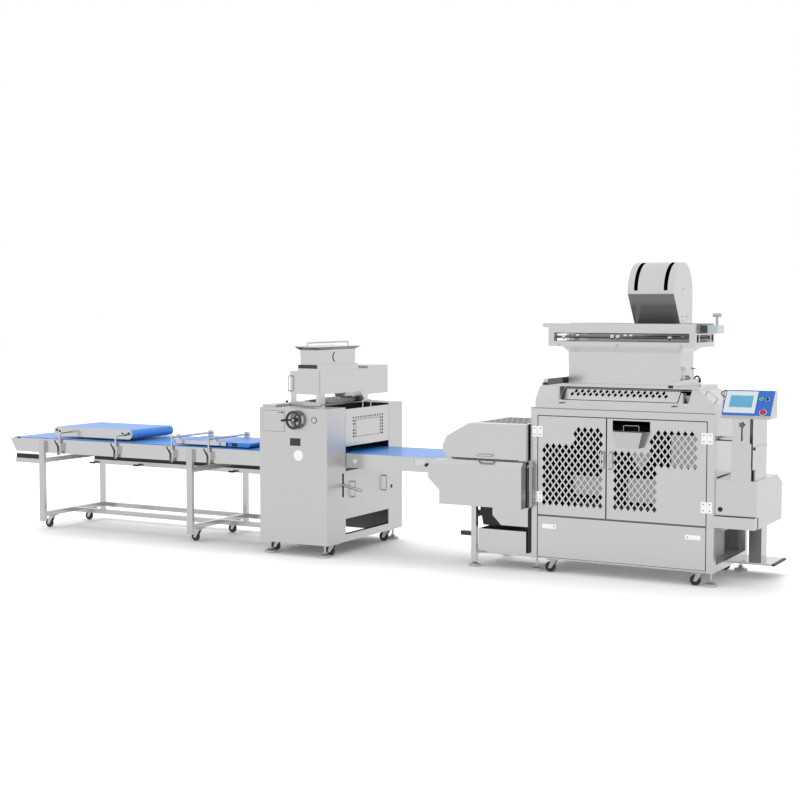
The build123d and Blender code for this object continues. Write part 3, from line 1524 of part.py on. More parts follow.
# Moulder guard: a flap over the rollers with a border of square holes
guard_y = (between[0] + 2, between[1] - 2)
guard_z = (guard_bottom, moulder_guard_top)
border_y = (between[0] + 125, between[1] - 107)
border_top = moulder_guard_top - 77
border_rows = 6
border_columns = 13
border_step = (border_y[1] - border_y[0]) / (border_columns - 1)
holes = [(border_y[0] + border_step * i, border_top) for i in range(border_columns)]
for row in range(1, border_rows + 1):
    for place in (0, 0.65, border_columns - 1.65, border_columns - 1):
        holes.append((border_y[0] + border_step * place, border_top - row * guard_hole_pitch))
with BuildPart() as moulder_guard:
    with BuildSketch(side(moulder_width - sheet)):
        outline(guard_y, guard_z)
        with Locations(*holes):
            Rectangle(guard_hole, guard_hole, mode=Mode.SUBTRACT)
    extrude(amount=sheet)
    with BuildSketch(front(between[0] - 3 * guard_rod)):
        with Locations(moulder_guard_axis):
            Circle(guard_rod)
    extrude(amount=-(between[1] - between[0] + 6 * guard_rod))
lift_x = moulder_width - sheet / 2
lift = [(lift_x, y, moulder_guard_top) for y in (between[0] + 279, between[0] + 412)]
write([moulder_guard.part, bow(*lift, (0, 0, top_recess), plate)], "moulder_guard", moulder)

# Gap lever in the front cheek's slot
lever_run = Vector(cos(lever_tilt), 0, -sin(lever_tilt))
with BuildPart() as gap_lever:
    with BuildSketch(Plane(origin=(lever_pivot_x, lever_y, lever_pivot_z), z_dir=lever_run)):
        Circle(lever_radius)
    extrude(amount=lever_length)
    with BuildSketch(front(lever_y)):
        with Locations((lever_pivot_x, lever_pivot_z)):
            Circle(lever_pin)
    extrude(amount=2 * pocket_half, both=True)
write([gap_lever.part], "gap_lever", moulder)

# Handwheel with three spokes and a crank
rim_y = -45
rim_mid = wheel_rim_radius - wheel_rim / 2
hub_radius = 18
crank_radius = 8
with BuildPart() as handwheel:
    with BuildSketch(front(rim_y)):
        with Locations((wheel_place, wheel_height)):
            Circle(wheel_rim_radius)
            Circle(wheel_rim_radius - wheel_rim, mode=Mode.SUBTRACT)
    extrude(amount=-wheel_rim)
    with BuildSketch(front(rim_y)):
        with Locations((wheel_place, wheel_height)):
            with PolarLocations(rim_mid / 2, 3, start_angle=60):
                Rectangle(rim_mid, wheel_rim)
    extrude(amount=-wheel_rim)
    with BuildSketch(front(rim_y)):
        with Locations((wheel_place, wheel_height)):
            Circle(hub_radius)
    extrude(amount=rim_y + seat_gap)
    with BuildSketch(front(rim_y)):
        with Locations((wheel_place, wheel_height)):
            Circle(wheel_shaft)
    extrude(amount=rim_y - wheel_bearing * 0.8)
    with BuildSketch(front(rim_y + wheel_rim)):
        with Locations((wheel_place - rim_mid, wheel_height)):
            Circle(crank_radius)
    extrude(amount=handle_reach + rim_y + wheel_rim)
write([handwheel.part], "handwheel", moulder)

# Roller carriage, hung on two spindles, and the pair of sheeting rollers
carriage_y = (between[0] + plate, between[1] - plate)
carriage_z = (bridge_z[0] - 90, bridge_z[0] - 50)
block_depth = 20
with BuildPart() as roller_carriage:
    span(carriage_x, carriage_y, carriage_z)
    for y in ((carriage_y[0], carriage_y[0] + block_depth), (carriage_y[1] - block_depth, carriage_y[1])):
        span(carriage_x, y, (upper_z - 2 * sheeting_shaft, carriage_z[0]))
    with BuildSketch(front(carriage_y[0])):
        with Locations((sheeting_x, upper_z)):
            Circle(sheeting_shaft + running_clearance)
    extrude(amount=carriage_y[0] - carriage_y[1], mode=Mode.SUBTRACT)
    with BuildSketch(Plane.XY.offset(carriage_z[1])):
        with Locations(*[(sheeting_x, y) for y in spindle_ys]):
            Circle(spindle_radius)
    extrude(amount=bridge_z[1] + plate - carriage_z[1])
write([roller_carriage.part], "roller_carriage", moulder)
sheeting_y = (carriage_y[0] + block_depth + 2, carriage_y[1] - block_depth - 2)
lower_shaft = (between[0] - sheeting_shaft, between[1] + sheeting_shaft)
upper_roller = roller(sheeting_x, upper_z, sheeting_y, carriage_y, sheeting_radius, sheeting_shaft)
lower_roller = roller(sheeting_x, lower_z, sheeting_y, lower_shaft, sheeting_radius, sheeting_shaft)
write([upper_roller], "upper_roller", moulder)
write([lower_roller], "lower_roller", moulder)

# Flour duster: stand, box, motor box, gate flange and hopper
duster_x = (duster_left, duster_left + duster_width)
stand_y = (duster_front + 10, duster_front + duster_depth)
stand_z = (moulder_top, moulder_top + duster_stand_height)
box_y = (duster_front, duster_front + duster_depth)
box_z = (stand_z[1], stand_z[1] + duster_box_height)
duster_axis = (duster_left + duster_width / 2, moulder_top + duster_roller_shaft + plate)
window_low = duster_axis[1] + duster_roller_shaft + plate


def walls(x, y, z):
    """Four upright sheets round a space that is open above and below."""
    inner_x = (x[0] + sheet, x[1] - sheet)
    inner_y = (y[0] + sheet, y[1] - sheet)
    return framed_opening(x, y, z, inner_x, inner_y)


with BuildPart() as stand:
    add(walls(duster_x, stand_y, stand_z))
    front_window = (duster_x[0] + 56, duster_x[1] - 36)
    span(front_window, (stand_y[0], stand_y[0] + sheet), (window_low, stand_z[1]), mode=Mode.SUBTRACT)
    with BuildSketch(side(duster_x[0])):
        with BuildLine():
            Polyline(
                (stand_y[0] + 83, stand_z[0] + 2 * plate),
                (stand_y[0] + 83, stand_z[1]),
                (stand_y[1] - 129, stand_z[1]),
                (stand_y[1] - 51, stand_z[0] + 2 * plate),
                close=True,
            )
        make_face()
    extrude(amount=duster_width, mode=Mode.SUBTRACT)
    with BuildSketch(front(stand_y[0])):
        with Locations(duster_axis):
            Circle(duster_roller_shaft + running_clearance)
    extrude(amount=stand_y[0] - stand_y[1], mode=Mode.SUBTRACT)
flange_x = (duster_hopper_left - 5, duster_hopper_left + duster_hopper_width + 18)
flange_y = (duster_front, duster_hopper_front + duster_hopper_depth + 20)
flange_z = (box_z[1] + sheet, box_z[1] + duster_flange_height)
hopper_foot_x = (duster_hopper_left, duster_hopper_left + duster_hopper_width)
hopper_foot_y = (duster_hopper_front, duster_hopper_front + duster_hopper_depth)
rim_x = (hopper_foot_x[0] - duster_rim, hopper_foot_x[1] + duster_rim)
rim_ys = (hopper_foot_y[0] - duster_rim, hopper_foot_y[1] + duster_rim)
rim_top = flange_z[1] + duster_hopper_height + duster_rim_height
hopper_zs = (flange_z[1], flange_z[1] + duster_hopper_height, rim_top)
mouth = [(low + sheet, high - sheet) for low, high in (hopper_foot_x, hopper_foot_y)]
lid_pin = 3
lid_axis = (rim_x[0] - 7, rim_top + 2)
lid_lugs = ((hopper_foot_y[0], hopper_foot_y[0] + 20), (hopper_foot_y[1] - 20, hopper_foot_y[1]))
lug_foot = duster_rim_height / 2
slot_at = (hopper_foot_y[0] + 270, hopper_zs[0] + duster_hopper_height / 2)
slot_radius = 42
slot_width = 18
with BuildPart() as flour_hopper:
    add(flared_hopper(hopper_foot_x, hopper_foot_y, rim_x, rim_ys, hopper_zs, sheet))
    for y in lid_lugs:
        span((lid_axis[0] - 5, rim_x[0] + sheet), y, (rim_top - lug_foot / 2, rim_top))
        span((lid_axis[0] - 5, lid_axis[0] + 5), y, (rim_top - lug_foot / 2, lid_axis[1] + 5))
    with BuildSketch(front(hopper_foot_y[0])):
        with Locations(lid_axis):
            Circle(lid_pin + running_clearance)
    extrude(amount=-duster_hopper_depth, mode=Mode.SUBTRACT)
    with BuildSketch(side(hopper_foot_x[1] - sheet)):
        with Locations(slot_at):
            Circle(slot_radius)
        with Locations((slot_at[0] + slot_width, slot_at[1])):
            Circle(slot_radius, mode=Mode.SUBTRACT)
    extrude(amount=sheet, mode=Mode.SUBTRACT)
motor_box_y = (box_y[1], moulder_depth + motor_overhang)
motor_box_z = (box_z[0] - duster_motor_drop, box_z[0] - duster_motor_drop + duster_motor_height)
body_pieces = [
    stand.part,
    walls(duster_x, box_y, box_z),
    bar(duster_x, motor_box_y, motor_box_z),
    framed_opening(duster_x, box_y, (box_z[1], flange_z[0]), *mouth),
    framed_opening(flange_x, flange_y, flange_z, *mouth),
    flour_hopper.part,
]
grip_x = duster_x[0] + 8
grip = [(grip_x, box_y[0], z) for z in (box_z[0] + 28, box_z[0] + 28 + door_handle_length)]
body_pieces.append(bow(*grip, (0, -door_handle_reach, 0), handle_radius))
write(body_pieces, "duster_body", moulder)

lid_z = (rim_top + seat_gap, rim_top + seat_gap + sheet)
tab_y = (lid_lugs[0][1] + seat_gap, lid_lugs[1][0] - seat_gap)
with BuildPart() as lid:
    span((rim_x[0] + plate, rim_x[1]), rim_ys, lid_z)
    span((lid_axis[0], rim_x[0] + 2 * plate), tab_y, lid_z)
    with BuildSketch(front(tab_y[0])):
        with Locations(lid_axis):
            Circle(lid_pin + 2)
    extrude(amount=tab_y[0] - tab_y[1])
    with BuildSketch(front(lid_lugs[0][0])):
        with Locations(lid_axis):
            Circle(lid_pin)
    extrude(amount=lid_lugs[0][0] - lid_lugs[1][1])
lid_mid = (rim_x[0] + rim_x[1]) / 2
lid_grip = [(lid_mid, y, lid_z[1]) for y in (rim_ys[0] + 2 * plate, rim_ys[1] - 2 * plate)]
write([lid.part, bow(*lid_grip, (0, 0, duster_rim), handle_radius)], "duster_lid", moulder)
brush_y = (between[0] + plate, between[1] - plate)
duster_roller = roller(*duster_axis, brush_y, stand_y, duster_roller_radius, duster_roller_shaft)
write([duster_roller], "duster_roller", moulder)

# Table panels: pointed side panels, bed, nose bar and the post brackets
table_y_inner = (sheet, table_depth - sheet)
table_belt_y = (table_belt_margin, table_depth - table_belt_margin)
table_axis_z = belt_height - loop_radius
table_drive_x = table_tip * 0.7
table_nose_x = table_length - loop_radius - 2 * plate
press_xs = (press_first, press_first + press_spacing)
smooth_xs = (smooth_first, smooth_first + smooth_spacing)
bracket_z = (table_panel_low + 27, table_panel_low + 27 + bracket_height)
bracket_y = (-2 * post_reach, 0)
lever_pivot = bracket_z[0] + bracket_height / 2
lever_pivot_radius = 5
pivot_depth = 6


def table_panel(y):
    """A side panel with a slanted end and the drive roller's bearing."""
    with BuildPart() as panel:
        with BuildSketch(front(y[0])):
            with BuildLine():
                Polyline(
                    (0, table_panel_high),
                    (table_tip, table_panel_low),
                    (table_length, table_panel_low),
                    (table_length, table_panel_high),
                    close=True,
                )
            make_face()
            with Locations((table_drive_x, table_axis_z)):
                Circle(journal + running_clearance, mode=Mode.SUBTRACT)
        extrude(amount=y[0] - y[1])
    return panel.part


def bracket(x):
    """A clamp block on the front panel with a bore for its post and a bearing for its lever."""
    with BuildPart() as block:
        span((x - bracket_width / 2, x + bracket_width / 2), bracket_y, bracket_z)
        with BuildSketch(Plane.XY.offset(bracket_z[0])):
            with Locations((x, -post_reach)):
                Circle(post_radius + running_clearance)
        extrude(amount=bracket_height, mode=Mode.SUBTRACT)
        with BuildSketch(front(bracket_y[0])):
            with Locations((x, lever_pivot)):
                Circle(lever_pivot_radius + running_clearance)
        extrude(amount=-pivot_depth, mode=Mode.SUBTRACT)
    return block.part


table_bed_x = (table_drive_x + 2 * roller_radius, table_nose_x - roller_radius)
table_pieces = [
    table_panel((0, sheet)),
    table_panel((table_y_inner[1], table_depth)),
    bar(table_bed_x, table_y_inner, (bed_top - 2 * plate, bed_top)),
    rod(*[(table_nose_x, y, table_axis_z) for y in table_y_inner], roller_radius),
]
for x in press_xs + smooth_xs:
    table_pieces.append(bracket(x))
write(table_pieces, "table_panels", table)
table_ends = (table_drive_x - loop_radius, table_nose_x + loop_radius)
write([belt_loop(table_ends, table_belt_y, belt_height, loop_radius)], "table_belt", table)
table_roller = roller(table_drive_x, table_axis_z, table_belt_y, (0, table_depth), roller_radius, journal)
write([table_roller], "table_roller", table)


# Clamp levers on the brackets: an upper arm and a hanging crank
def clamp_lever(x):
    """A flat two-armed lever with its pivot pin."""
    arm = 2 * lever_pivot_radius
    with BuildPart() as lever:
        with BuildSketch(front(bracket_y[0] - seat_gap)):
            with Locations((x - 18, lever_pivot + 28)):
                Rectangle(arm + 66, arm, rotation=122)
            with Locations((x, lever_pivot - 34)):
                Rectangle(arm, arm + 68)
        extrude(amount=lever_pivot_radius * 1.6)
        with BuildSketch(front(bracket_y[0] - seat_gap)):
            with Locations((x, lever_pivot)):
                Circle(lever_pivot_radius)
        extrude(amount=-pivot_depth)
    return lever.part


for number, x in enumerate(press_xs + smooth_xs, 1):
    write([clamp_lever(x)], f"clamp_lever_{number}", table)

# Press board: belt-wrapped board between side plates, carried by two bent posts
press_z = belt_height + press_gap + press_height / 2
press_mid = press_left + press_length / 2
press_plate_y = (press_front, press_front + plate)
press_far = press_front + press_width
post_foot = table_panel_low - 12


def stadium(y, length, height):
    """A board with round ends between two Y limits."""
    with BuildPart() as board:
        with BuildSketch(front(y[0])):
            with Locations((press_mid, press_z)):
                SlotOverall(length, height)
        extrude(amount=y[0] - y[1])
    return board.part


def bent_post(x):
    """A post that rises beside the table and bends over to the board's near plate."""
    with BuildPart() as bent:
        with BuildLine() as path:
            FilletPolyline(
                (x, -post_reach, post_foot),
                (x, -post_reach, press_z),
                (x, press_front, press_z),
                radius=3 * post_radius,
            )
        with BuildSketch(Plane.XY.offset(post_foot)):
            with Locations((x, -post_reach)):
                Circle(post_radius)
        sweep(path=path.line)
    return bent.part


core_inset = 2 * (belt_thickness + seat_gap)
core_y = (press_plate_y[1], press_far - plate)
core_height = press_height - core_inset
core_x = (press_left + press_height / 2, press_left + press_length - press_height / 2)
press_board = [
    stadium(press_plate_y, press_length, press_height),
    stadium((press_far - plate, press_far), press_length, press_height),
]
for z in (press_z - core_height / 2, press_z + core_height / 2 - plate):
    press_board.append(bar(core_x, core_y, (z, z + plate)))
for x in core_x:
    press_board.append(rod((x, core_y[0], press_z), (x, core_y[1], press_z), core_height / 2 - plate))
for x in press_xs:
    press_board.append(bent_post(x))
write(press_board, "press_board", table)
press_ends = (press_left, press_left + press_length)
press_belt_y = (core_y[0] + seat_gap, core_y[1] - seat_gap)
press_belt = belt_loop(press_ends, press_belt_y, press_z + press_height / 2, press_height / 2)
write([press_belt], "press_belt", table)

# Smoothing board under two cantilever rods
smooth_z = (belt_height + smooth_gap, belt_height + smooth_gap + smooth_height)
with BuildPart() as smoothing_board:
    with BuildSketch(front(smooth_front)):
        with Locations((smooth_left + smooth_length / 2, (smooth_z[0] + smooth_z[1]) / 2)):
            SlotOverall(smooth_length, smooth_height)
    extrude(amount=-smooth_width)
write([smoothing_board.part], "smoothing_board", table)
clamp_half = 2 * post_radius
clamp_z = (smooth_z[1], smooth_rod_height + clamp_half)
smooth_far = smooth_front + smooth_width
smoothing_rods = []
for x in smooth_xs:
    with BuildPart() as cantilever:
        with BuildSketch(Plane.XY.offset(post_foot)):
            with Locations((x, -post_reach)):
                Circle(post_radius)
        extrude(amount=clamp_z[1] - post_foot)
        with BuildSketch(front(-post_reach)):
            with Locations((x, smooth_rod_height)):
                Circle(post_radius)
        extrude(amount=-(post_reach + smooth_far))
        for y in ((smooth_front, smooth_front + clamp_half), (smooth_far - 2 * clamp_half, smooth_far)):
            span((x - clamp_half, x + clamp_half), y, clamp_z)
            with BuildSketch(front(y[0])):
                with Locations((x, smooth_rod_height)):
                    Circle(1.2 * clamp_half)
            extrude(amount=y[0] - y[1])
    smoothing_rods.append(cantilever.part)
trim_x = (smooth_left + smooth_height / 2, smooth_xs[1] + smooth_trim)
smoothing_rods.append(bar(trim_x, (smooth_front - plate, smooth_front), (smooth_z[0] + plate, smooth_z[1])))
write(smoothing_rods, "smoothing_rods", table)

# Table stand: legs, cross tubes, long tubes, tool rails with black strips, and castor pads
leg_xs = (table_leg_first, table_leg_first + table_leg_spacing)
front_leg_y = (-front_leg_depth, 0)
rear_leg_y = (table_depth - sheet - table_leg, table_depth - sheet)
cross_y = (front_leg_y[1], rear_leg_y[0])
stub_y = (sheet, sheet + table_leg)
strip_height = 40
stand_pieces = []
castors = []
for x in leg_xs:
    tube_x = (x, x + table_leg)
    stand_pieces.append(bar((x, x + front_leg_width), front_leg_y, (table_leg_bottom, front_leg_top)))
    stand_pieces.append(bar(tube_x, rear_leg_y, (table_leg_bottom, table_leg_top)))
    for z in (low_tube_height, high_tube_height):
        stand_pieces.append(bar(tube_x, cross_y, (z, z + table_leg)))
    for y in (table_castor_front, table_castor_rear):
        castors.append((x + table_leg / 2, y))
middle_tube = (leg_xs[0] + table_leg, leg_xs[1])
low_z = (low_tube_height, low_tube_height + table_leg)
middle_y = (cross_y[0] + cross_y[1] - table_leg) / 2
for y in (middle_y, rear_leg_y[0]):
    stand_pieces.append(bar(middle_tube, (y, y + table_leg), low_z))
    stand_pieces.append(bar((leg_xs[1] + table_leg, table_length), (y, y + table_leg), low_z))
rear_rail_y = (rear_leg_y[0] - table_leg, rear_leg_y[0])
rear_rail_x = (leg_xs[0] - table_leg, table_length)
rear_rail_z = (high_tube_height - 2 * table_leg, high_tube_height - table_leg)
stub_x = (table_tip - 12, leg_xs[0])
stub_z = (high_tube_height - table_leg / 4, high_tube_height + table_leg * 0.75)
for x, y, z in ((rear_rail_x, rear_rail_y, rear_rail_z), (stub_x, stub_y, stub_z)):
    strip_y = (y[0] + table_leg / 4, y[1] - table_leg / 4)
    stand_pieces.append(bar(x, y, z))
    stand_pieces.append(bar(x, strip_y, (z[1], z[1] + strip_height)))
rail_clamp_z = rear_rail_z[0] + table_leg / 4
for x in (350, 884, 1985):
    stem = ((x, rear_rail_y[0], rail_clamp_z), (x, rear_rail_y[0] - 35, rail_clamp_z))
    stand_pieces.append(t_handle(*stem, (28, 0, 0), post_radius))
pad_half = 1.1 * table_leg
pad_z = (low_tube_height - castor_pad, low_tube_height)
for x, y in castors:
    with BuildPart() as pad:
        span((x - pad_half, x + pad_half), (y - pad_half, y + pad_half), pad_z)
        with BuildSketch(Plane.XY.offset(pad_z[0])):
            with Locations((x, y)):
                Circle(swivel_radius + running_clearance)
        extrude(amount=castor_pad, mode=Mode.SUBTRACT)
    stand_pieces.append(pad.part)
write(stand_pieces, "table_stand", table)
for number, (x, y) in enumerate(castors, 1):
    write([castor_fork(x, y, pad_z[0], castor_pad)], f"castor_fork_{number}", table)
    write([castor_wheel(x, y)], f"castor_wheel_{number}", table)

# Levelling feet under the divider, the outfeed legs and the moulder, and the castors parked beside them
moulder_inset = 60
parked_step = 115
divider_feet_x = (post * 0.6, divider_width - post * 0.6)
moulder_feet_x = (moulder_inset, moulder_width - moulder_inset)
moulder_feet_y = (moulder_inset, moulder_depth - moulder_inset)
feet = []
parked = []


def parked_castor(x, y, top):
    """A castor with its fixed mounting pad, as separate solids."""
    half = 1.1 * table_leg
    pad = bar((x - half, x + half), (y - half, y + half), (top - castor_pad, top))
    return [pad, castor_fork(x, y, top - castor_pad, 0), castor_wheel(x, y)]


for x in divider_feet_x:
    for y in (post, inner_back):
        feet.append(foot(x, y, frame_bottom).moved(divider))
for y in leg_ys:
    feet.append(foot(leg_x[0] + leg_size / 2, y + leg_size / 2, leg_bottom).moved(divider))
for x in moulder_feet_x:
    for y in moulder_feet_y:
        feet.append(foot(x, y, moulder_bottom).moved(moulder))
write(feet, "levelling_feet", Location())
for x in (divider_feet_x[0] + parked_step + castor_trail, divider_feet_x[1] - parked_step + castor_trail):
    for y in (1.5 * post - castor_trail, inner_back - castor_trail):
        parked += [piece.moved(divider) for piece in parked_castor(x, y, frame_bottom)]
for x in moulder_feet_x:
    for y in (moulder_feet_y[0] + 100, moulder_feet_y[1] - 130):
        parked += [piece.moved(moulder) for piece in parked_castor(x + castor_trail / 2, y, moulder_bottom)]
write(parked, "parked_castors", Location())
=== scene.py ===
# %% [markdown]
# # A dough forming line in brushed steel
# The solid model arrives as a fixed frame, in metres, with the line along X, the operator's side
# towards -Y and the floor at Z = 0. This lesson dresses it: it gives every steel sheet, belt and
# knob its finish, and it adds the small pieces that a machine shop would turn, bend or screw on.

# %% Load the frame
from functools import reduce
from math import pi, radians

import bmesh
import bpy
import numpy as np
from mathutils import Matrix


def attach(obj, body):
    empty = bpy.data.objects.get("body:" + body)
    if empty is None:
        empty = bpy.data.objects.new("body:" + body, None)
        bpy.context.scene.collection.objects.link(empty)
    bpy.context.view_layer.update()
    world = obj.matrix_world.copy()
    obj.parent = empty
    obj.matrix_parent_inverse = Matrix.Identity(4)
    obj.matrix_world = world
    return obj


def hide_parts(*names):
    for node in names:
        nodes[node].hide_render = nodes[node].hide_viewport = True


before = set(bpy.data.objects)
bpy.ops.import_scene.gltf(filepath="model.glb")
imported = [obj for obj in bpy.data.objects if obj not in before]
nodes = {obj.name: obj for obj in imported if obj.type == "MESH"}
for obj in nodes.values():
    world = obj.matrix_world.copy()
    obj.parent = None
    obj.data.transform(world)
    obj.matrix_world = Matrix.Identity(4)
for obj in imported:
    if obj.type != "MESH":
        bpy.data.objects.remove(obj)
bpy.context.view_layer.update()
scene = bpy.context.scene

# %% [markdown]
# ## Camera
# The line was photographed from the front right, a little above the belts, with a long lens. Blender's
# camera looks down its own -Z, so a tilt about X and then a turn about Z aim it.

# %% Camera
yaw = radians(29.14)
tilt = radians(3.59)
camera = bpy.data.objects.new("camera", bpy.data.cameras.new("camera"))
camera.data.sensor_width = 36
camera.data.lens = 66.74
camera.data.clip_end = 200
camera.location = (6.314, -10.725, 2.033)
camera.rotation_euler = (pi / 2 - tilt, 0, yaw)
scene.collection.objects.link(camera)
scene.camera = camera
scene.view_settings.view_transform = "Standard"

# %% [markdown]
# ## Places
# Three drawings in millimetres hold the line: the divider's, with the outfeed and infeed beside it, the
# moulder's and the table's. Two helpers carry a drawing's numbers into the line's metres: one for a point, one
# for a box.

# %% Places
DIVIDER = (1.669, -0.331)
MOULDER = (-0.631, -0.643)
TABLE = (-3.531, -0.499)


def spot(unit, x, y, z):
    """A point of a unit's drawing, in metres."""
    return np.array([x / 1000 + unit[0], y / 1000 + unit[1], z / 1000])


def box(unit, x, y, z):
    """A box of a unit's drawing, as its lowest and highest corner in metres."""
    low, high = spot(unit, x[0], y[0], z[0]), spot(unit, x[1], y[1], z[1])
    return tuple(low.tolist()), tuple(high.tolist())


# %% [markdown]
# ## Node helpers
# A procedural finish is a small graph of nodes. A few helpers keep the graphs readable: one makes a node
# and wires its inputs, one starts a material with its main shader, and the rest name what a node is for.


# %% Node helpers
def put(tree, kind, inputs=(), **settings):
    """Adds one node; inputs maps a socket to a value or to another node's output socket."""
    made = tree.nodes.new(kind)
    for key, value in settings.items():
        setattr(made, key, value)
    for socket, value in dict(inputs).items():
        if isinstance(value, bpy.types.NodeSocket):
            tree.links.new(value, made.inputs[socket])
        else:
            made.inputs[socket].default_value = value
    return made


def start_finish(name, metallic=0.0, roughness=0.5):
    """A material with its main shader's plain values set; returns material, tree and shader."""
    made = bpy.data.materials.new(name)
    made.use_nodes = True
    shader = made.node_tree.nodes["Principled BSDF"]
    shader.inputs["Metallic"].default_value = metallic
    shader.inputs["Roughness"].default_value = roughness
    return made, made.node_tree, shader


def place(tree):
    """Object coordinates, which are the line's own metres on every piece."""
    return put(tree, "ShaderNodeTexCoord").outputs["Object"]


def calc(tree, operation, a, b=0.0):
    """One arithmetic node."""
    return put(tree, "ShaderNodeMath", {0: a, 1: b}, operation=operation).outputs[0]


def vector(tree, operation, a, b=(0, 0, 0)):
    """One vector node; a dot product's answer is a number."""
    made = put(tree, "ShaderNodeVectorMath", {0: a, 1: b}, operation=operation)
    return made.outputs["Value" if operation == "DOT_PRODUCT" else "Vector"]


def split(tree, value):
    """A vector's x, y and z."""
    return put(tree, "ShaderNodeSeparateXYZ", {0: value}).outputs


def noise(tree, at, scale, detail=2.0, stretch=(1, 1, 1)):
    """Noise whose grain is drawn out by a stretch along each axis."""
    mapped = put(tree, "ShaderNodeMapping", {"Vector": at, "Scale": stretch}).outputs[0]
    made = put(tree, "ShaderNodeTexNoise", {"Vector": mapped, "Scale": scale, "Detail": detail})
    return made.outputs[0]


def between(tree, value, low, high, start=0.0, end=1.0):
    """Carries start..end to low..high and holds it there outside."""
    return put(tree, "ShaderNodeMapRange", {0: value, 1: start, 2: end, 3: low, 4: high}).outputs[0]


def mix(tree, share, first, second):
    """Blends two colours; a share of 0 is the first."""
    inputs = {0: share, 6: first, 7: second}
    return put(tree, "ShaderNodeMix", inputs, data_type="RGBA").outputs[2]


def blend(tree, share, first, second):
    """Blends two numbers; a share of 0 is the first."""
    return put(tree, "ShaderNodeMix", {0: share, 2: first, 3: second}).outputs[0]


def raise_surface(tree, shader, height, strength, distance):
    """Lets a height shape the light on a surface, as a shallow bump."""
    relief = put(tree, "ShaderNodeBump", {"Strength": strength, "Distance": distance, "Height": height})
    tree.links.new(relief.outputs[0], shader.inputs["Normal"])


def any_of(tree, tests):
    """1 where any of several tests is 1: the greatest of them."""
    return reduce(lambda a, b: calc(tree, "MAXIMUM", a, b), tests)


def all_of(tree, tests):
    """1 where every one of several tests is 1: their product."""
    return reduce(lambda a, b: calc(tree, "MULTIPLY", a, b), tests)


def inside(tree, at, low, high):
    """1 inside a box and 0 outside: |p - middle| < half on all three axes."""
    middle = [(a + b) / 2 for a, b in zip(low, high)]
    half = [(b - a) / 2 for a, b in zip(low, high)]
    away = split(tree, vector(tree, "ABSOLUTE", vector(tree, "SUBTRACT", at, middle)))
    return all_of(tree, [calc(tree, "LESS_THAN", part, limit) for part, limit in zip(away, half)])


def grey(level):
    """An even grey."""
    return (level, level, level)


def shade(colour, times):
    """A colour made darker or lighter, with full opacity."""
    return (*(min(1.0, times * part) for part in colour), 1)


# %% [markdown]
# ## Brushed steel
# Stainless sheet is drawn over an abrasive belt, so its grain is thousands of hair-thin parallel lines. A
# noise squeezed across the grain and drawn out along it gives them. Faces that look along X take
# their grain along Y instead, because that is how a folded sheet's grain turns the corner. The grain
# drives roughness and a shallow bump, and a slow cloud of noise keeps large sheets from looking printed.
# Faces that look down are painted darker than the top, as painted shade, and on one hopper lighter, as
# painted light. A coat is a second finish inside given boxes, such as a polished hinge leaf or the painted
# shade inside a cabinet.

# %% Brushed steel
STEEL = grey(0.625)
UNDERSIDE_SHADE = 0.5
GRAIN_LONG, GRAIN_FINE = 5, 700
GRAIN_SHARE, CLOUD_SHARE = 0.6, 0.4


def brushed_steel(name, tint=STEEL, rough=(0.17, 0.27), coats=(), under_shade=UNDERSIDE_SHADE, bare=1.0, side_shade=1.0):
    """Brushed sheet; each coat is (boxes, (colour, roughness, metallic)) laid over the steel in turn.

    Faces that look down take their own factor times the tint: painted shade below 1 and painted light above 1;
    bare says how metallic they look. Faces that look along +X take a second factor: painted shade.
    """
    made, tree, shader = start_finish(name, metallic=1.0)
    at = place(tree)
    facing = put(tree, "ShaderNodeNewGeometry").outputs["Normal"]
    sideways, _, upwards = split(tree, facing)
    turned_grain = calc(tree, "GREATER_THAN", calc(tree, "ABSOLUTE", sideways), 0.7)
    along_x = noise(tree, at, 1.0, 2.0, (GRAIN_LONG, GRAIN_FINE, GRAIN_FINE))
    along_y = noise(tree, at, 1.0, 2.0, (GRAIN_FINE, GRAIN_LONG, GRAIN_FINE))
    grain = blend(tree, turned_grain, along_x, along_y)
    cloud = noise(tree, at, 2.3, 3.0)
    shares = calc(tree, "MULTIPLY", grain, GRAIN_SHARE), calc(tree, "MULTIPLY", cloud, CLOUD_SHARE)
    tone = calc(tree, "ADD", *shares)
    # Faces that look down: painted shade, and painted light where the factor is over 1.
    underside = between(tree, upwards, 0.0, 1.0, -0.2, -0.5)
    brushed = mix(tree, tone, shade(tint, 0.95), shade(tint, 1.05))
    colour = mix(tree, underside, brushed, shade(tint, under_shade))
    # Faces that look along +X are painted darker: painted shade on that side.
    if side_shade != 1.0:
        shaded_side = between(tree, sideways, 0.0, 1.0, 0.3, 0.6)
        colour = mix(tree, shaded_side, colour, shade(tint, side_shade))
    finish = between(tree, tone, *rough)
    metal = None if bare == 1.0 else between(tree, underside, 1.0, bare)
    for boxes, (paint, paint_rough, paint_metal) in coats:
        share = any_of(tree, [inside(tree, at, *corners) for corners in boxes])
        colour = mix(tree, share, colour, (*paint, 1))
        finish = blend(tree, share, finish, paint_rough)
        metal = blend(tree, share, 1.0 if metal is None else metal, paint_metal)
    tree.links.new(colour, shader.inputs["Base Color"])
    tree.links.new(finish, shader.inputs["Roughness"])
    if metal is not None:
        tree.links.new(metal, shader.inputs["Metallic"])
    raise_surface(tree, shader, grain, 0.03, 0.0004)
    return made


# %% [markdown]
# ## Belt, plastic and paint
# The belts are smooth blue polyurethane over a fine weave. Moulded plastic has a faint orange-peel. Both are
# dielectrics: most of their colour is diffuse, and a rough clear reflection lies on top.

# %% Belt, plastic and paint
BELT_DEEP = (0.026, 0.255, 0.82, 1)
BELT_WORN = (0.055, 0.330, 0.92, 1)
BELT_UNDERSIDE_SHADE = (0.20, 0.22, 0.26, 1)
BELT_FABRIC = (0.85, 0.86, 0.88, 1)
WEAVE_SCALE = 180.0


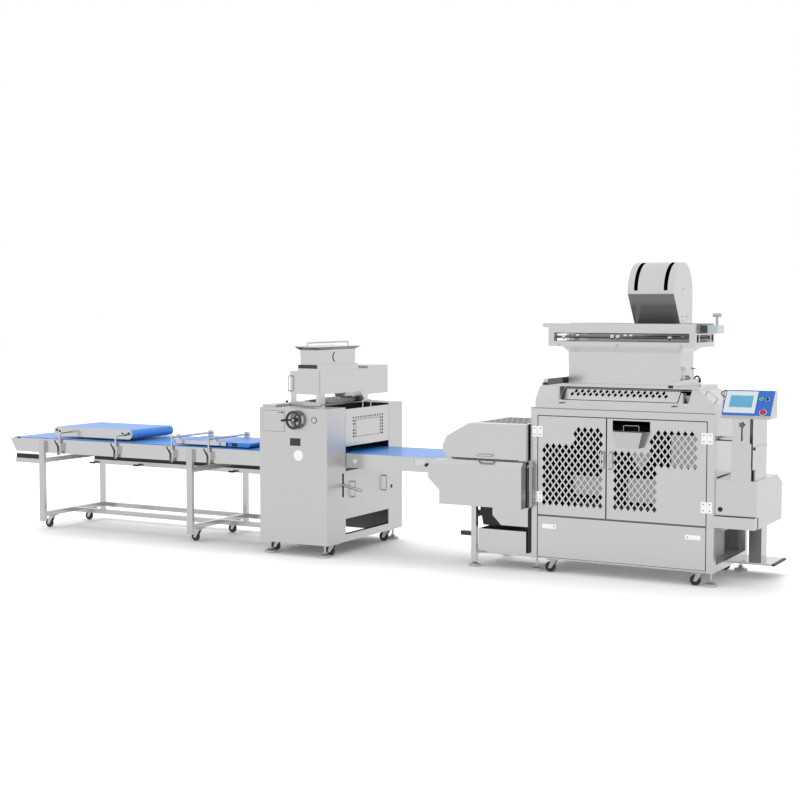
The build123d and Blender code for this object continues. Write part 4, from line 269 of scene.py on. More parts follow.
def moulded(name, colour, rough=0.4, grain=900.0, relief=0.03):
    """Moulded plastic or rubber: an even colour with a slow cloud and a fine pebbled surface."""
    made, tree, shader = start_finish(name, roughness=rough)
    at = place(tree)
    cloud = noise(tree, at, 6.0, 3.0)
    tree.links.new(mix(tree, cloud, shade(colour, 0.9), shade(colour, 1.1)), shader.inputs["Base Color"])
    pebble = noise(tree, at, grain, 2.0)
    tree.links.new(between(tree, pebble, rough - 0.06, rough + 0.06), shader.inputs["Roughness"])
    raise_surface(tree, shader, pebble, relief, 0.0005)
    return made


def belting(name, loop=None):
    """Blue belting: a smooth face over a crossed weave, paler where it has run; painted shade where it faces
    down.

    A box given as loop is the room inside the belt, where its pale fabric side shows.
    """
    made, tree, shader = start_finish(name, roughness=0.38)
    at = place(tree)
    wear = noise(tree, at, 1.4, 3.0, (0.5, 3, 1))
    facing = put(tree, "ShaderNodeNewGeometry").outputs["Normal"]
    # Faces that look down turn dull grey: painted shade on the returning run.
    shaded_run = between(tree, split(tree, facing)[2], 0.0, 1.0, -0.3, -0.8)
    colour = mix(tree, shaded_run, mix(tree, wear, BELT_DEEP, BELT_WORN), BELT_UNDERSIDE_SHADE)
    if loop is not None:
        colour = mix(tree, inside(tree, at, *loop), colour, BELT_FABRIC)
    tree.links.new(colour, shader.inputs["Base Color"])
    threads = {"Vector": at, "Scale": WEAVE_SCALE}
    warp, weft = (put(tree, "ShaderNodeTexWave", threads, bands_direction=way).outputs[1] for way in "XY")
    raise_surface(tree, shader, calc(tree, "MULTIPLY", warp, weft), 0.05, 0.0004)
    tree.links.new(between(tree, wear, 0.24, 0.34), shader.inputs["Roughness"])
    return made


steel = brushed_steel("steel_sheet")
steel_tube = brushed_steel("steel_tube", tint=grey(0.58))
steel_dark = brushed_steel("steel_dark", tint=grey(0.10), rough=(0.3, 0.4))
bright = brushed_steel("steel_bright", tint=(0.90, 0.90, 0.89), rough=(0.18, 0.28))
# Near-black steel for the parts inside the cabinet: painted shade.
painted_shade_black = brushed_steel("steel_painted_shade_black", tint=(0.022, 0.022, 0.023), rough=(0.4, 0.5))
blue = belting("belt_blue")
black = moulded("plastic_black", (0.012, 0.012, 0.013), 0.42)
grey_plastic = moulded("plastic_grey", (0.050, 0.050, 0.052), 0.36)
white = moulded("plastic_white", (0.82, 0.82, 0.80), 0.35)
bright_white = moulded("plastic_bright_white", grey(0.90), 0.2)
red = moulded("plastic_red", (0.72, 0.015, 0.02), 0.25, relief=0.01)
green = moulded("plastic_green", (0.03, 0.62, 0.12), 0.25, relief=0.01)
mid_grey = moulded("plastic_mid_grey", (0.17, 0.17, 0.175), 0.35)
tyre_rubber = moulded("castor_rubber", (0.028, 0.028, 0.030), 0.5, 500.0, 0.08)
motor_paint = moulded("motor_paint", (0.05, 0.055, 0.06), 0.4)

# %% [markdown]
# ## Console face
# The console is a sloping blue plate with a touch screen, over a grey lower lip. On the slope, s runs along
# the console and t runs up it, both from the lower left corner and both 0 to 1. A rectangle in s and t says
# where bezel and display are.

# %% Console face
console_corner = spot(DIVIDER, 1510, -80, 1243)
console_width, console_rise, console_lean = 0.352, 0.194, 0.140
slope = float(np.hypot(console_rise, console_lean))
up_slope = np.array([0, console_lean, console_rise]) / slope
off_slope = np.array([0, -console_rise, console_lean]) / slope


def console_paint(name):
    """Blue paint, a pale bezel, a lit display and a grey lip.

    They are told apart by s = (p - corner).x / width and t = (p - corner).up / slope.
    """
    made, tree, shader = start_finish(name, roughness=0.3)
    at = place(tree)
    local = vector(tree, "SUBTRACT", at, tuple(console_corner))
    s = vector(tree, "DOT_PRODUCT", local, (1 / console_width, 0, 0))
    t = vector(tree, "DOT_PRODUCT", local, tuple(up_slope / slope))
    flat = put(tree, "ShaderNodeCombineXYZ", {0: s, 1: t, 2: 0.0}).outputs[0]

    def panel(left, right, low, high):
        return inside(tree, flat, (left, low, -1), (right, high, 1))

    cloud = noise(tree, at, 9.0, 2.0)
    paint = mix(tree, cloud, (0.020, 0.165, 0.66, 1), (0.028, 0.190, 0.74, 1))
    bezel = panel(0.020, 0.670, 0.185, 0.965)
    colour = mix(tree, bezel, paint, (0.86, 0.93, 0.95, 1))
    up_display = between(tree, t, 0.0, 1.0, 0.38, 0.80)
    glow = mix(tree, up_display, (0.13, 0.47, 0.74, 1), (0.17, 0.52, 0.78, 1))
    display = panel(0.120, 0.590, 0.385, 0.800)
    colour = mix(tree, display, colour, glow)
    lip = panel(-0.1, 1.1, -0.1, 0.115)
    colour = mix(tree, lip, colour, (0.56, 0.57, 0.58, 1))
    tree.links.new(colour, shader.inputs["Base Color"])
    tree.links.new(between(tree, cloud, 0.24, 0.36), shader.inputs["Roughness"])
    return made


# %% [markdown]
# ## Coats
# Most of the solid model keeps its shape and only needs a finish. Some nodes hold pieces of several finishes,
# such as polished hinge leaves on a steel frame, or a cabinet whose inside is painted dark as painted shade.
# Object coordinates are the line's own metres, so boxes from the drawings say which finish a point has.

# %% Coats for the divider
# A near-black finish, laid as painted shade inside cabinets, holes and gaps.
painted_shade = ((0.008, 0.008, 0.009), 0.7, 0.0)
coal = ((0.012, 0.012, 0.013), 0.45, 0.0)
milk = ((0.86, 0.86, 0.85), 0.35, 0.0)
# A dark grey metal: the colour of some rods, rails and the roof mesh, and painted shade in recesses and under
# lips.
pewter_and_shade = (grey(0.20), 0.3, 1.0)
slate = (grey(0.13), 0.35, 1.0)
gunmetal = ((0.060, 0.060, 0.062), 0.35, 0.6)
polished = (grey(0.98), 0.15, 1.0)
frosted = ((0.66, 0.77, 0.79), 0.12, 0.0)
zinc = (grey(0.55), 0.45, 0.3)
# A dark grey, laid as painted shade in the gaps round doors and panels.
gap_shade = (grey(0.10), 0.4, 1.0)
ledge = (grey(0.26), 0.4, 1.0)
recess_shade = (grey(0.42), 0.4, 0.4)
cover_side_shade = (grey(0.28), 0.3, 1.0)

cabinet_x = (0, 1446)
outer_face = (-0.3, 0.4)
leaf_y = (-14, -0.2)
hinge_zs = ((530, 640), (1030, 1140))
door_z = (443, 1206)
gap_shade_width = 4


def coat(finish, unit, x, y, z):
    """One coat: a finish inside one box of a unit's drawing."""
    return [box(unit, x, y, z)], finish


def gap_shade_band(x, z):
    """Four dark strips of painted shade round a door's edges, where the gap beside it lies in shadow."""
    left_and_right = [(low, low + gap_shade_width) for low in (x[0], x[1] - gap_shade_width)]
    low_and_high = [(low, low + gap_shade_width) for low in (z[0], z[1] - gap_shade_width)]
    boxes = [box(DIVIDER, strip, outer_face, z) for strip in left_and_right]
    return boxes + [box(DIVIDER, x, outer_face, strip) for strip in low_and_high], gap_shade


def hinge_leaves(x):
    """The lower and upper hinge leaf within a span of x."""
    return [box(DIVIDER, x, leaf_y, z) for z in hinge_zs], polished


bay = coat(zinc, DIVIDER, (21.5, 1425), (58, 868), (104, 439))
# The walls of the doors' holes and their folded edges are painted dark: painted shade.
hole_wall_shade = coat(painted_shade, DIVIDER, (20, 1430), (0.4, 2.3), (430, 1220))
frame_coats = [
    bay,
    # The cabinet's inside is painted dark: painted shade.
    coat(painted_shade, DIVIDER, (21.5, 1424.5), (2, 844), (441, 1262.5)),
    coat(ledge, DIVIDER, cabinet_x, outer_face, (1260, 1264.1)),
    hinge_leaves(cabinet_x),
]
left_coats = [hole_wall_shade, gap_shade_band((58, 614.5), door_z), hinge_leaves((50, 104))]
right_coats = [hole_wall_shade, gap_shade_band((617.5, 1388), door_z), hinge_leaves((1342, 1396))]
panel_coats = [
    bay,
    gap_shade_band((58, 1388), (117, 437)),
    # The cabinet's inside and the feed throat are painted dark: painted shade.
    coat(painted_shade, DIVIDER, (21.5, 1424.5), (2.6, 844), (441, 1263.5)),
    coat(ledge, DIVIDER, cabinet_x, outer_face, (1263.9, 1267)),
    coat(painted_shade, DIVIDER, (250, 1198), (125, 561), (1262, 1427)),
    # The recess right of the throat is painted dark grey: painted shade.
    coat(pewter_and_shade, DIVIDER, (1198, 1240.9), (125, 561), (1262, 1427)),
    coat(recess_shade, DIVIDER, (1203.3, 1240.9), (8, 72), (1268, 1427)),
    coat(polished, DIVIDER, (90, 1360), (-3, -0.2), (340, 376)),
    ([box(DIVIDER, (x, x + 32), (-40, 4.9), (1288, 1330)) for x in (240, 1125)], gunmetal),
]
# The guard's top edge is painted dark grey: painted shade under the hopper rails.
guard_coats = [coat(pewter_and_shade, DIVIDER, (150, 1300), (90, 112), (1411, 1427))]
rod_ys = (200, 480)
rod_boxes = [box(DIVIDER, (96, 1254), (y - 12, y + 12), (1792, 1817)) for y in rod_ys]
knob_starts = (170.5, 565.6, 612, 1018.7)
knob_boxes = [box(DIVIDER, (x - 0.5, x + 28.5), (160, 520), (1788, 1821)) for x in knob_starts]
hopper_frame_coats = [
    (rod_boxes, pewter_and_shade),
    (knob_boxes, milk),
    coat(pewter_and_shade, DIVIDER, (183, 221), (-189.8, 452), (1450, 1497)),
    coat(coal, DIVIDER, (150, 1250), (-200, -190.1), (1440, 1500)),
    coat(pewter_and_shade, DIVIDER, (1225, 1283), (309, 464), (1837, 1898)),
    coat(frosted, DIVIDER, (1283, 1362), (309, 464), (1837, 1898)),
    coat(zinc, DIVIDER, (1290, 1375), (340, 430), (1898.2, 1990)),
]

# %% [markdown]
# The feed hood is a tube with a round top, so its inside is told by a radius about the middle of the arc, and
# a coat that follows boxes isn't enough. Its own finish adds a radial test and paints the inside dark, as
# painted shade.

# %% Feed hood
hood_middle = spot(DIVIDER, 901.5, 352, 2149.5)
hood_radius, hood_half_width, hood_knee = 0.2165, 0.1770, -0.0185


def hood_steel(name):
    """Brushed steel outside, and painted shade inside above the knee.

    With x, y and z from the arc's middle, inside is where hypot(y, max(z, 0)) is under the radius and |x| is
    under half the width.
    """
    # Its undersides are painted darker: painted shade.
    made = brushed_steel(name, under_shade=0.32, bare=0.35)
    tree = made.node_tree
    shader = tree.nodes["Principled BSDF"]
    x, y, z = split(tree, vector(tree, "SUBTRACT", place(tree), tuple(hood_middle)))
    rise = calc(tree, "MAXIMUM", z, 0.0)
    squares = calc(tree, "MULTIPLY", y, y), calc(tree, "MULTIPLY", rise, rise)
    radius = calc(tree, "SQRT", calc(tree, "ADD", *squares))
    tests = [
        calc(tree, "LESS_THAN", radius, hood_radius),
        calc(tree, "LESS_THAN", calc(tree, "ABSOLUTE", x), hood_half_width),
        calc(tree, "GREATER_THAN", z, hood_knee),
    ]
    share = all_of(tree, tests)
    # The inside takes the near-black painted shade.
    dark, dark_rough, _ = painted_shade
    for socket, join, value in (("Base Color", mix, (*dark, 1)), ("Roughness", blend, dark_rough)):
        before = shader.inputs[socket].links[0].from_socket
        tree.links.new(join(tree, share, before, value), shader.inputs[socket])
    return made


# %% [markdown]
# The other units are coated in the same way: the scrap chute is coloured near black, the tool rails' strips are
# black plastic, the plates on the moulder are dark or bright, and the insides of housings are painted dark as
# painted shade.

# %% Coats for the other units
tower_coats = [
    # The slot in the tower is painted dark: painted shade.
    coat(painted_shade, DIVIDER, (1704.6, 1727.4), (-17, 342), (878, 1240)),
    coat(coal, DIVIDER, (1730.3, 1742), (-4, 2.3), (1010, 1040)),
]
housing_coats = [
    # The side housing's inside is painted dark: painted shade.
    coat(painted_shade, DIVIDER, (1449, 1747), (22.8, 707), (533, 787)),
    coat(pewter_and_shade, DIVIDER, (1549, 1646), (539, 541), (117.5, 530)),
    coat(coal, DIVIDER, (1728, 1752), (525, 875), (101, 118)),
]
outfeed_coats = [
    coat(coal, DIVIDER, (-446, -250), (16, 266), (320, 494)),
    coat(gunmetal, DIVIDER, (-600, -496.2), (-60, 700), (236, 278)),
    # The outfeed's inside is painted dark: painted shade.
    coat(painted_shade, DIVIDER, (-700, -14), (-24, 618), (700, 856)),
]
hood_coats = [
    # The hood's inside is painted dark: painted shade.
    coat(painted_shade, DIVIDER, (-704, -56), (-60, 617.3), (800, 1020)),
    coat(pewter_and_shade, DIVIDER, (-440.5, -51.5), (14.5, 580.5), (1132, 1136)),
    # A thin dark band along the hood's lower front edge is painted shade of the gap over the cover.
    coat(painted_shade, DIVIDER, (-630, -12), (-106, -104.4), (856.5, 863)),
]
cover_coats = [
    # The cover's right side is painted dark grey: painted shade.
    coat(cover_side_shade, DIVIDER, (-14.2, -11), (-150, -36), (490, 850)),
    # The cover's inside is painted dark: painted shade.
    coat(painted_shade, DIVIDER, (-700, -14.6), (-105, -36), (496, 805)),
]
# The bin's inside is painted dark: painted shade.
bin_coats = [coat(painted_shade, DIVIDER, (-418.4, -18.6), (-42.4, 432.4), (138.6, 310))]
infeed_coats = [coat(milk, DIVIDER, (-1580, -1528), (-60, -20.2), (750, 800))]
infeed_loop = box(DIVIDER, (-1890, -740), (-15, 685), (758.6, 830.2))
moulder_coats = [
    # The moulder's inside is painted dark grey low down and near black higher up: painted shade.
    coat(slate, MOULDER, (8, 645), (44, 1198), (106, 1209)),
    coat(painted_shade, MOULDER, (8, 645), (44, 1198), (850, 1209)),
    coat(gunmetal, MOULDER, (652.5, 664), (1036, 1066), (468, 500)),
    coat(polished, MOULDER, (335, 424), (-6, -0.2), (783, 873)),
    coat(gunmetal, MOULDER, (298, 399), (-6, -0.2), (905, 968)),
    coat(gunmetal, MOULDER, (27.5, 244.5), (-0.15, 0.2), (1015.5, 1188.5)),
]
duster_coats = [
    # The duster stand's inside is painted dark: painted shade.
    coat(painted_shade, MOULDER, (138.6, 417.4), (264.6, 1045.4), (1213, 1305.4)),
    coat(gunmetal, MOULDER, (130, 425), (255, 1055), (1210, 1214.5)),
    coat(pewter_and_shade, MOULDER, (222.6, 388.4), (282.6, 877.4), (1503, 1707)),
    coat(gunmetal, MOULDER, (214, 403), (251, 252.4), (1524, 1556)),
    coat(gunmetal, MOULDER, (417, 421), (261, 266.5), (1309, 1501)),
]
tool_strips = [box(TABLE, (330, 2910), (764, 806), (570.4, 611)), box(TABLE, (55, 377), (2, 43), (640.4, 681))]
rail_clips = [box(TABLE, (x - 30, x + 30), (690, 764.8), (505, 575)) for x in (350, 884, 1985)]
stand_coats = [(tool_strips, coal), (rail_clips, gunmetal)]
plate_x, plate_y, plate_z = (652.4, 654), (458, 849), (959, 1099)
plate_lines = [box(MOULDER, plate_x, (y - 2, y + 2), plate_z) for y in plate_y]
plate_lines += [box(MOULDER, plate_x, plate_y, (z - 2, z + 2)) for z in plate_z]
plate_coats = [(plate_lines, slate)]
parked = [(DIVIDER, x, y) for x in (178, 1328) for y in (52.5, 785)]
parked += [(MOULDER, x, y) for x in (75, 608) for y in (160, 1052)]
tyre_boxes = [box(unit, (x - 71, x + 11), (y - 13.3, y + 13.3), (-1, 81)) for unit, x, y in parked]
parked_coats = [(tyre_boxes, coal)]

# %% [markdown]
# ## Finishes for the solid nodes
# Each node now takes its finish by name. A node that isn't named is plain brushed steel.

# %% Finishes for the solid nodes
finishes = {
    "divider_frame": brushed_steel("frame_steel", coats=frame_coats),
    "left_door": brushed_steel("left_door_steel", coats=left_coats),
    "right_door": brushed_steel("right_door_steel", coats=right_coats),
    "cabinet_panels": brushed_steel("panel_steel", coats=panel_coats),
    "hopper_frame": brushed_steel("hopper_frame_steel", coats=hopper_frame_coats),
    "feed_hood": hood_steel("feed_hood_steel"),
    "control_tower": brushed_steel("tower_steel", coats=tower_coats),
    "side_housing": brushed_steel("side_housing_steel", coats=housing_coats),
    "outfeed_frame": brushed_steel("outfeed_steel", coats=outfeed_coats),
    "outfeed_hood": brushed_steel("outfeed_hood_steel", coats=hood_coats),
    "outfeed_cover": brushed_steel("outfeed_cover_steel", coats=cover_coats),
    "scrap_bin": brushed_steel("scrap_bin_steel", coats=bin_coats),
    "infeed_frame": brushed_steel("infeed_steel", coats=infeed_coats),
    "moulder_housing": brushed_steel("moulder_steel", rough=(0.30, 0.42), coats=moulder_coats),
    "roller_guard": brushed_steel("guard_steel", coats=guard_coats),
    # The pan's right side is painted darker: painted shade.
    "door_pan": brushed_steel("pan_steel", side_shade=0.22),
    "moulder_guard": brushed_steel("moulder_guard_steel", coats=plate_coats),
    "duster_body": brushed_steel("duster_steel", coats=duster_coats),
    "table_stand": brushed_steel("stand_steel", tint=grey(0.58), coats=stand_coats),
    "parked_castors": brushed_steel("parked_castor_steel", tint=grey(0.45), coats=parked_coats),
    # The hopper's undersides are painted lighter: painted light.
    "dough_hopper": brushed_steel("hopper_steel", under_shade=1.4, bare=0.2),
    # The duster lid's undersides are painted darker: painted shade.
    "duster_lid": brushed_steel("duster_lid_steel", under_shade=0.25),
    "control_fascia": console_paint("console_paint"),
    "infeed_belt": belting("belt_infeed", infeed_loop),
    "selector_switch": black,
    "gearmotor": motor_paint,
    "duster_roller": white,
}
# The rollers and drum inside the cabinet are painted near black: painted shade.
finishes |= dict.fromkeys(("feed_roller_front", "feed_roller_rear", "dividing_drum"), painted_shade_black)
finishes |= dict.fromkeys(("table_belt", "press_belt", "smoothing_board"), blue)
for number in range(1, 5):
    finishes[f"castor_fork_{number}"] = steel_tube
    finishes[f"clamp_lever_{number}"] = steel_dark
for name, node in nodes.items():
    node.data.materials.clear()
    node.data.materials.append(finishes.get(name, steel))
print("finishes:", len(set(finishes.values())))

# %% [markdown]
# ## Computed surfaces
# Every added piece is a grid of points worked out with numpy. A turned piece is a profile spun about an axis,
# a bent piece is a circle carried along a path, and one list of quads joins the rows of either. Points that
# fall together at a pole or a seam are merged, so the surface is closed, and its faces are turned outwards.

# %% Computed surfaces
towards_x, towards_y, towards_z = np.eye(3)
front, upright = (0, -1, 0), (0, 0, 1)
MERGE = 1e-6
CREASE = radians(35)


def quads(rows, columns, ring_rows=False):
    """Corner numbers of a grid's quads: (i, j), (i+1, j), (i+1, j+1), (i, j+1).

    The columns close into a ring, and so do the rows if ring_rows says so.
    """
    i, j = np.meshgrid(np.arange(rows - (not ring_rows)), np.arange(columns), indexing="ij")
    below, after = (i + 1) % rows, (j + 1) % columns
    corners = [i * columns + j, below * columns + j, below * columns + after, i * columns + after]
    return np.stack(corners, -1).reshape(-1, 4)


def circle(steps):
    """Angles all the way round, without the last that would repeat the first."""
    return np.linspace(0, 2 * pi, steps, endpoint=False)


def across(axis):
    """A unit axis with two unit vectors square to it."""
    axis = np.array(axis, float) / np.linalg.norm(axis)
    helper = np.eye(3)[np.argmin(np.abs(axis))]
    first = np.cross(axis, helper)
    first /= np.linalg.norm(first)
    return axis, first, np.cross(axis, first)


def turned(profile, centre, axis, steps=32, ring=False):
    """A profile in mm spun about an axis.

    p(k, a) = centre + along(k) axis + radius(k) (cos a u + sin a v)
    """
    along, radius = np.array(profile, float).T / 1000
    axis, u, v = across(axis)
    angle = circle(steps)[:, None]
    spokes = np.cos(angle) * u + np.sin(angle) * v
    points = centre + along[:, None, None] * axis + radius[:, None, None] * spokes
    return points.reshape(-1, 3), quads(len(along), steps, ring_rows=ring)


def bent(path, radius, sides=10, loop=False):
    """A circle carried along a path; the ends run to a point, unless the path is a loop.

    p(k, a) = path(k) + radius(k) (cos a u(k) + sin a v(k))
    """
    path = np.asarray(path, float)
    ahead = np.roll(path, -1, 0) - np.roll(path, 1, 0) if loop else np.gradient(path, axis=0)
    ahead /= np.linalg.norm(ahead, axis=1, keepdims=True)
    helper = np.eye(3)[np.argmin(np.abs(ahead).max(0))]
    u = np.cross(ahead, helper)
    u /= np.linalg.norm(u, axis=1, keepdims=True)
    v = np.cross(ahead, u)
    size = np.broadcast_to(np.asarray(radius, float) / 1000, len(path))
    if not loop:
        path, u, v = (np.concatenate([rows[:1], rows, rows[-1:]]) for rows in (path, u, v))
        size = np.concatenate([[0], size, [0]])
    angle = circle(sides)[None, :, None]
    spokes = np.cos(angle) * u[:, None] + np.sin(angle) * v[:, None]
    points = path[:, None] + size[:, None, None] * spokes
    return points.reshape(-1, 3), quads(len(path), sides, ring_rows=loop)


def add_piece(name, shapes, finish, body, replaces=()):
    """Joins computed surfaces into one mesh that rides on a body."""
    starts = np.cumsum([0] + [len(points) for points, _ in shapes])
    points = np.concatenate([points for points, _ in shapes])
    faces = np.concatenate([corners + start for (_, corners), start in zip(shapes, starts)])
    mesh = bpy.data.meshes.new(name)
    mesh.from_pydata(points.tolist(), [], faces.tolist())
    work = bmesh.new()
    work.from_mesh(mesh)
    bmesh.ops.remove_doubles(work, verts=work.verts, dist=MERGE)
    bmesh.ops.recalc_face_normals(work, faces=work.faces)
    work.to_mesh(mesh)
    work.free()
    mesh.polygons.foreach_set("use_smooth", np.ones(len(mesh.polygons), bool))
    mesh.set_sharp_from_angle(angle=CREASE)
    mesh.materials.append(finish)
    piece = bpy.data.objects.new(name, mesh)
    scene.collection.objects.link(piece)
    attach(piece, body)
    if replaces:
        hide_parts(*replaces)
    print(name, "faces:", len(mesh.polygons))


# %% [markdown]
# ## Castor wheels
# A castor's tyre is a rounded rubber ring on a moulded hub with a raised boss round the axle. Both are turned
# about the axle, and they roll with the wheel that they stand for.

# %% Castor wheels
tyre_profile = [(-12, 25), (-13, 28), (-13, 34), (-11.5, 37.5), (-8, 39.6), (-3, 40), (3, 40),
                (8, 39.6), (11.5, 37.5), (13, 34), (13, 28), (12, 25)]
hub_profile = [(-12.5, 5.2), (-12.5, 10), (-11.5, 12), (-7, 13), (-6, 15), (-6, 22), (-11, 25.2),
               (11, 25.2), (6, 22), (6, 15), (7, 13), (11.5, 12), (12.5, 10), (12.5, 5.2)]
castor_places = [(x, y) for x in (397, 2075) for y in (110, 659)]
castor_trail, castor_height = 30, 40
for number, (x, y) in enumerate(castor_places, 1):
    axle = spot(TABLE, x - castor_trail, y, castor_height)
    wheel = f"castor_wheel_{number}"
    rubber = turned(tyre_profile, axle, towards_y, 40, ring=True)
    add_piece(f"castor_tyre_{number}", [rubber], tyre_rubber, wheel, [wheel])
    core = turned(hub_profile, axle, towards_y, 24, ring=True)
    add_piece(f"castor_hub_{number}", [core], grey_plastic, wheel)

# %% [markdown]
# ## Levelling feet
# A levelling foot is a round pad with a grey rubber rim, a threaded stem and, where the stem is long, a lock
# nut. The thread is a profile whose radius goes up and down with each turn, and the nut is the same spin with
# only six steps.

# %% Levelling feet
feet = [(DIVIDER, x, y, 102) for x in (33, 1413) for y in (55, 815)]
feet += [(DIVIDER, -475, y, 40) for y in (-4, 604)]
feet += [(MOULDER, x, y, 103) for x in (60, 593) for y in (60, 1182)]
pad_profile = [(0, 0), (0, 48), (1.5, 50), (17, 50), (20, 48), (24, 40), (28, 28), (32, 20), (34, 18),
               (34, 0)]
nut_profile = [(35, 8.8), (35, 17), (36, 18.5), (44, 18.5), (45, 17), (45, 8.8)]
nut_top = nut_profile[-1][0]
thread_start, thread_step, thread_root, thread_depth = 30, 2.0, 8.4, 0.6
rim = (grey(0.66), 0.5, 0.0)
rim_room = ((-9, -9, -1), (9, 9, 0.0205))
pad_coats = [([rim_room], rim)]
pad_finish = brushed_steel("foot_pad", tint=grey(0.75), rough=(0.3, 0.4), coats=pad_coats)
pads, stems = [], []
for unit, x, y, top in feet:
    base = spot(unit, x, y, 0)
    pads.append(turned(pad_profile, base, upright, 36))
    height = np.arange(thread_start, top + 0.1, thread_step)
    crest = thread_root + thread_depth * (np.arange(len(height)) % 2)
    thread = np.column_stack([np.r_[height[0], height, height[-1]], np.r_[0, crest, 0]])
    stems.append(turned(thread, base, upright, 14))
    if top > nut_top:
        stems.append(turned(nut_profile, base, upright, 6, ring=True))
add_piece("foot_pads", pads, pad_finish, "line", ["levelling_feet"])
add_piece("foot_stems", stems, steel_tube, "line")

# %% [markdown]
# ## Handwheel
# The moulder's handwheel is a moulded ring on three spokes with a dark hub, a bright cap and a turning grip.
# The ring is a circle carried round a circle, the spokes are tapered rods, and hub, cap and grip are turned.

# %% Handwheel
wheel_x, wheel_z, grip_x = 356, 1117, 288
wheel_middle = spot(MOULDER, wheel_x, -36, wheel_z)
wheel_radius, rim_thickness = 0.066, 11
turn = circle(64)[:, None]
rim_path = wheel_middle + wheel_radius * (np.cos(turn) * towards_x + np.sin(turn) * towards_z)
ring_shape = [bent(rim_path, rim_thickness, 14, loop=True)]
spoke_run = np.linspace(0.010, wheel_radius, 6)[:, None]
spoke_taper = np.linspace(10, 8, 6)
for angle in np.radians((60, 180, 300)):
    arm = wheel_middle + spoke_run * (np.cos(angle) * towards_x + np.sin(angle) * towards_z)
    ring_shape.append(bent(arm, spoke_taper, 10))
add_piece("handwheel_ring", ring_shape, grey_plastic, "handwheel", ["handwheel"])
hub_shape = [(0.5, 0), (0.5, 18), (34, 18), (37, 16.5), (38, 12), (43, 11), (45, 9), (45, 0)]
hub_back = spot(MOULDER, wheel_x, 0, wheel_z)
add_piece("handwheel_hub", [turned(hub_shape, hub_back, front)], grey_plastic, "handwheel")
cap_shape = [(44, 0), (44, 8), (46, 8), (47, 6.5), (47.4, 0)]
add_piece("handwheel_cap", [turned(cap_shape, hub_back, front, 20)], bright, "handwheel")
grip_shape = [(27, 0), (27, 6), (50, 6), (51, 8.5), (56, 9.6), (75, 8.2), (95, 9.4), (108, 9), (113, 6),
              (114, 0)]
grip = turned(grip_shape, spot(MOULDER, grip_x, 0, wheel_z), front, 20)
add_piece("handwheel_grip", [grip], black, "handwheel")

# %% [markdown]
# ## Star knob
# The knob on the tower has five lobes. Its outline is r(a) = 18.7 + 3.3 cos 5a, and the same outline shrinks
# and swells along the axis, so one grid over the angle and the height makes it.

# %% Star knob
knob_back = spot(DIVIDER, 1647.5, -20.3, 1194.6)
lobes, lobe_mean, lobe_depth = 5, 18.7, 3.3
lobe_angle = circle(60)
lobe_reach = (lobe_mean + lobe_depth * np.cos(lobes * lobe_angle)) / 1000
lobe_way = np.cos(lobe_angle)[:, None] * towards_x + np.sin(lobe_angle)[:, None] * towards_z
swell = np.array([(-22, 0), (-22, 0.26), (0, 0.26), (0, 0.5), (3, 0.86), (6, 0.98), (12, 1), (15.5, 0.9),
                  (17.6, 0.6), (16, 0.3), (16, 0)])
knob_grid = (lobe_reach[:, None] * lobe_way)[None] * swell[:, 1, None, None]
knob_grid = knob_back + knob_grid + swell[:, 0, None, None] / 1000 * np.array(front)
knob_shape = knob_grid.reshape(-1, 3), quads(len(swell), len(lobe_angle))
add_piece("star_knob_moulded", [knob_shape], mid_grey, "star_knob", ["star_knob"])

# %% [markdown]
# ## Console buttons
# The emergency stop is a red mushroom over a pale collar, and the start button is a green cap in a steel
# ring. All are turned about the line that stands square on the console's slope. The caps press in, and the
# rings stay.

# %% Console buttons
fascia_thickness = 0.003


def on_console(along, up):
    """A point of the console's face, in mm along it and up its slope."""
    flat = np.array([along / 1000, 0, 0]) + up / 1000 * up_slope
    return console_corner + flat + fascia_thickness * off_slope


stop_cap = [(-2, 0), (-2, 11.9), (6.3, 11.9), (6.3, 16), (7.2, 19), (9, 20), (11.5, 19.4), (14.5, 16.5),
            (16.8, 11.5), (18, 6), (18.3, 0)]
start_cap = [(-2, 0), (-2, 7.1), (4.3, 7.1), (4.3, 11.3), (5, 12), (9, 12), (10, 11), (10.3, 9), (9.7, 6),
             (9.3, 0)]
stop_collar = [(0.05, 21), (0.05, 26.5), (1.5, 27), (3, 26), (3.3, 24), (2.6, 21.3)]
cap_ring = [(0.05, 12.6), (0.05, 15.5), (3, 15.5), (4, 14.6), (4, 12.8)]
stop_at, start_at, selector_at = on_console(294.3, 57.4), on_console(264, 167.5), on_console(309.8, 165.1)
mushroom = turned(stop_cap, stop_at, off_slope)
add_piece("stop_mushroom", [mushroom], red, "emergency_stop", ["emergency_stop"])
start_button = turned(start_cap, start_at, off_slope)
add_piece("start_cap", [start_button], green, "start_button", ["start_button"])
collar_shape = turned(stop_collar, stop_at, off_slope, ring=True)
add_piece("stop_collar", [collar_shape], white, "line")
rings = [turned(cap_ring, at, off_slope, ring=True) for at in (start_at, selector_at)]
add_piece("button_rings", rings, bright, "line")

# %% [markdown]
# ## Hinge and latch screws
# Each hinge leaf is held by two countersunk screws, and each latch plate by one. A screw head is a spin of
# only ten steps with a socket sunk in its middle, because there are many of them.

# %% Hinge and latch screws
screw_head = [(-0.5, 0), (-0.5, 5), (0.4, 5), (1.2, 4.2), (1.2, 2.4), (0.3, 2.0), (0.3, 0)]
leaf_screw_zs = (560, 606, 1061, 1107)


def screw(x, y, z):
    """One screw head on the front of the divider."""
    return turned(screw_head, spot(DIVIDER, x, y, z), front, 10)


def leaf_screws(x):
    """The four screw heads of the two hinge leaves at one x."""
    return [screw(x, -4, z) for z in leaf_screw_zs]


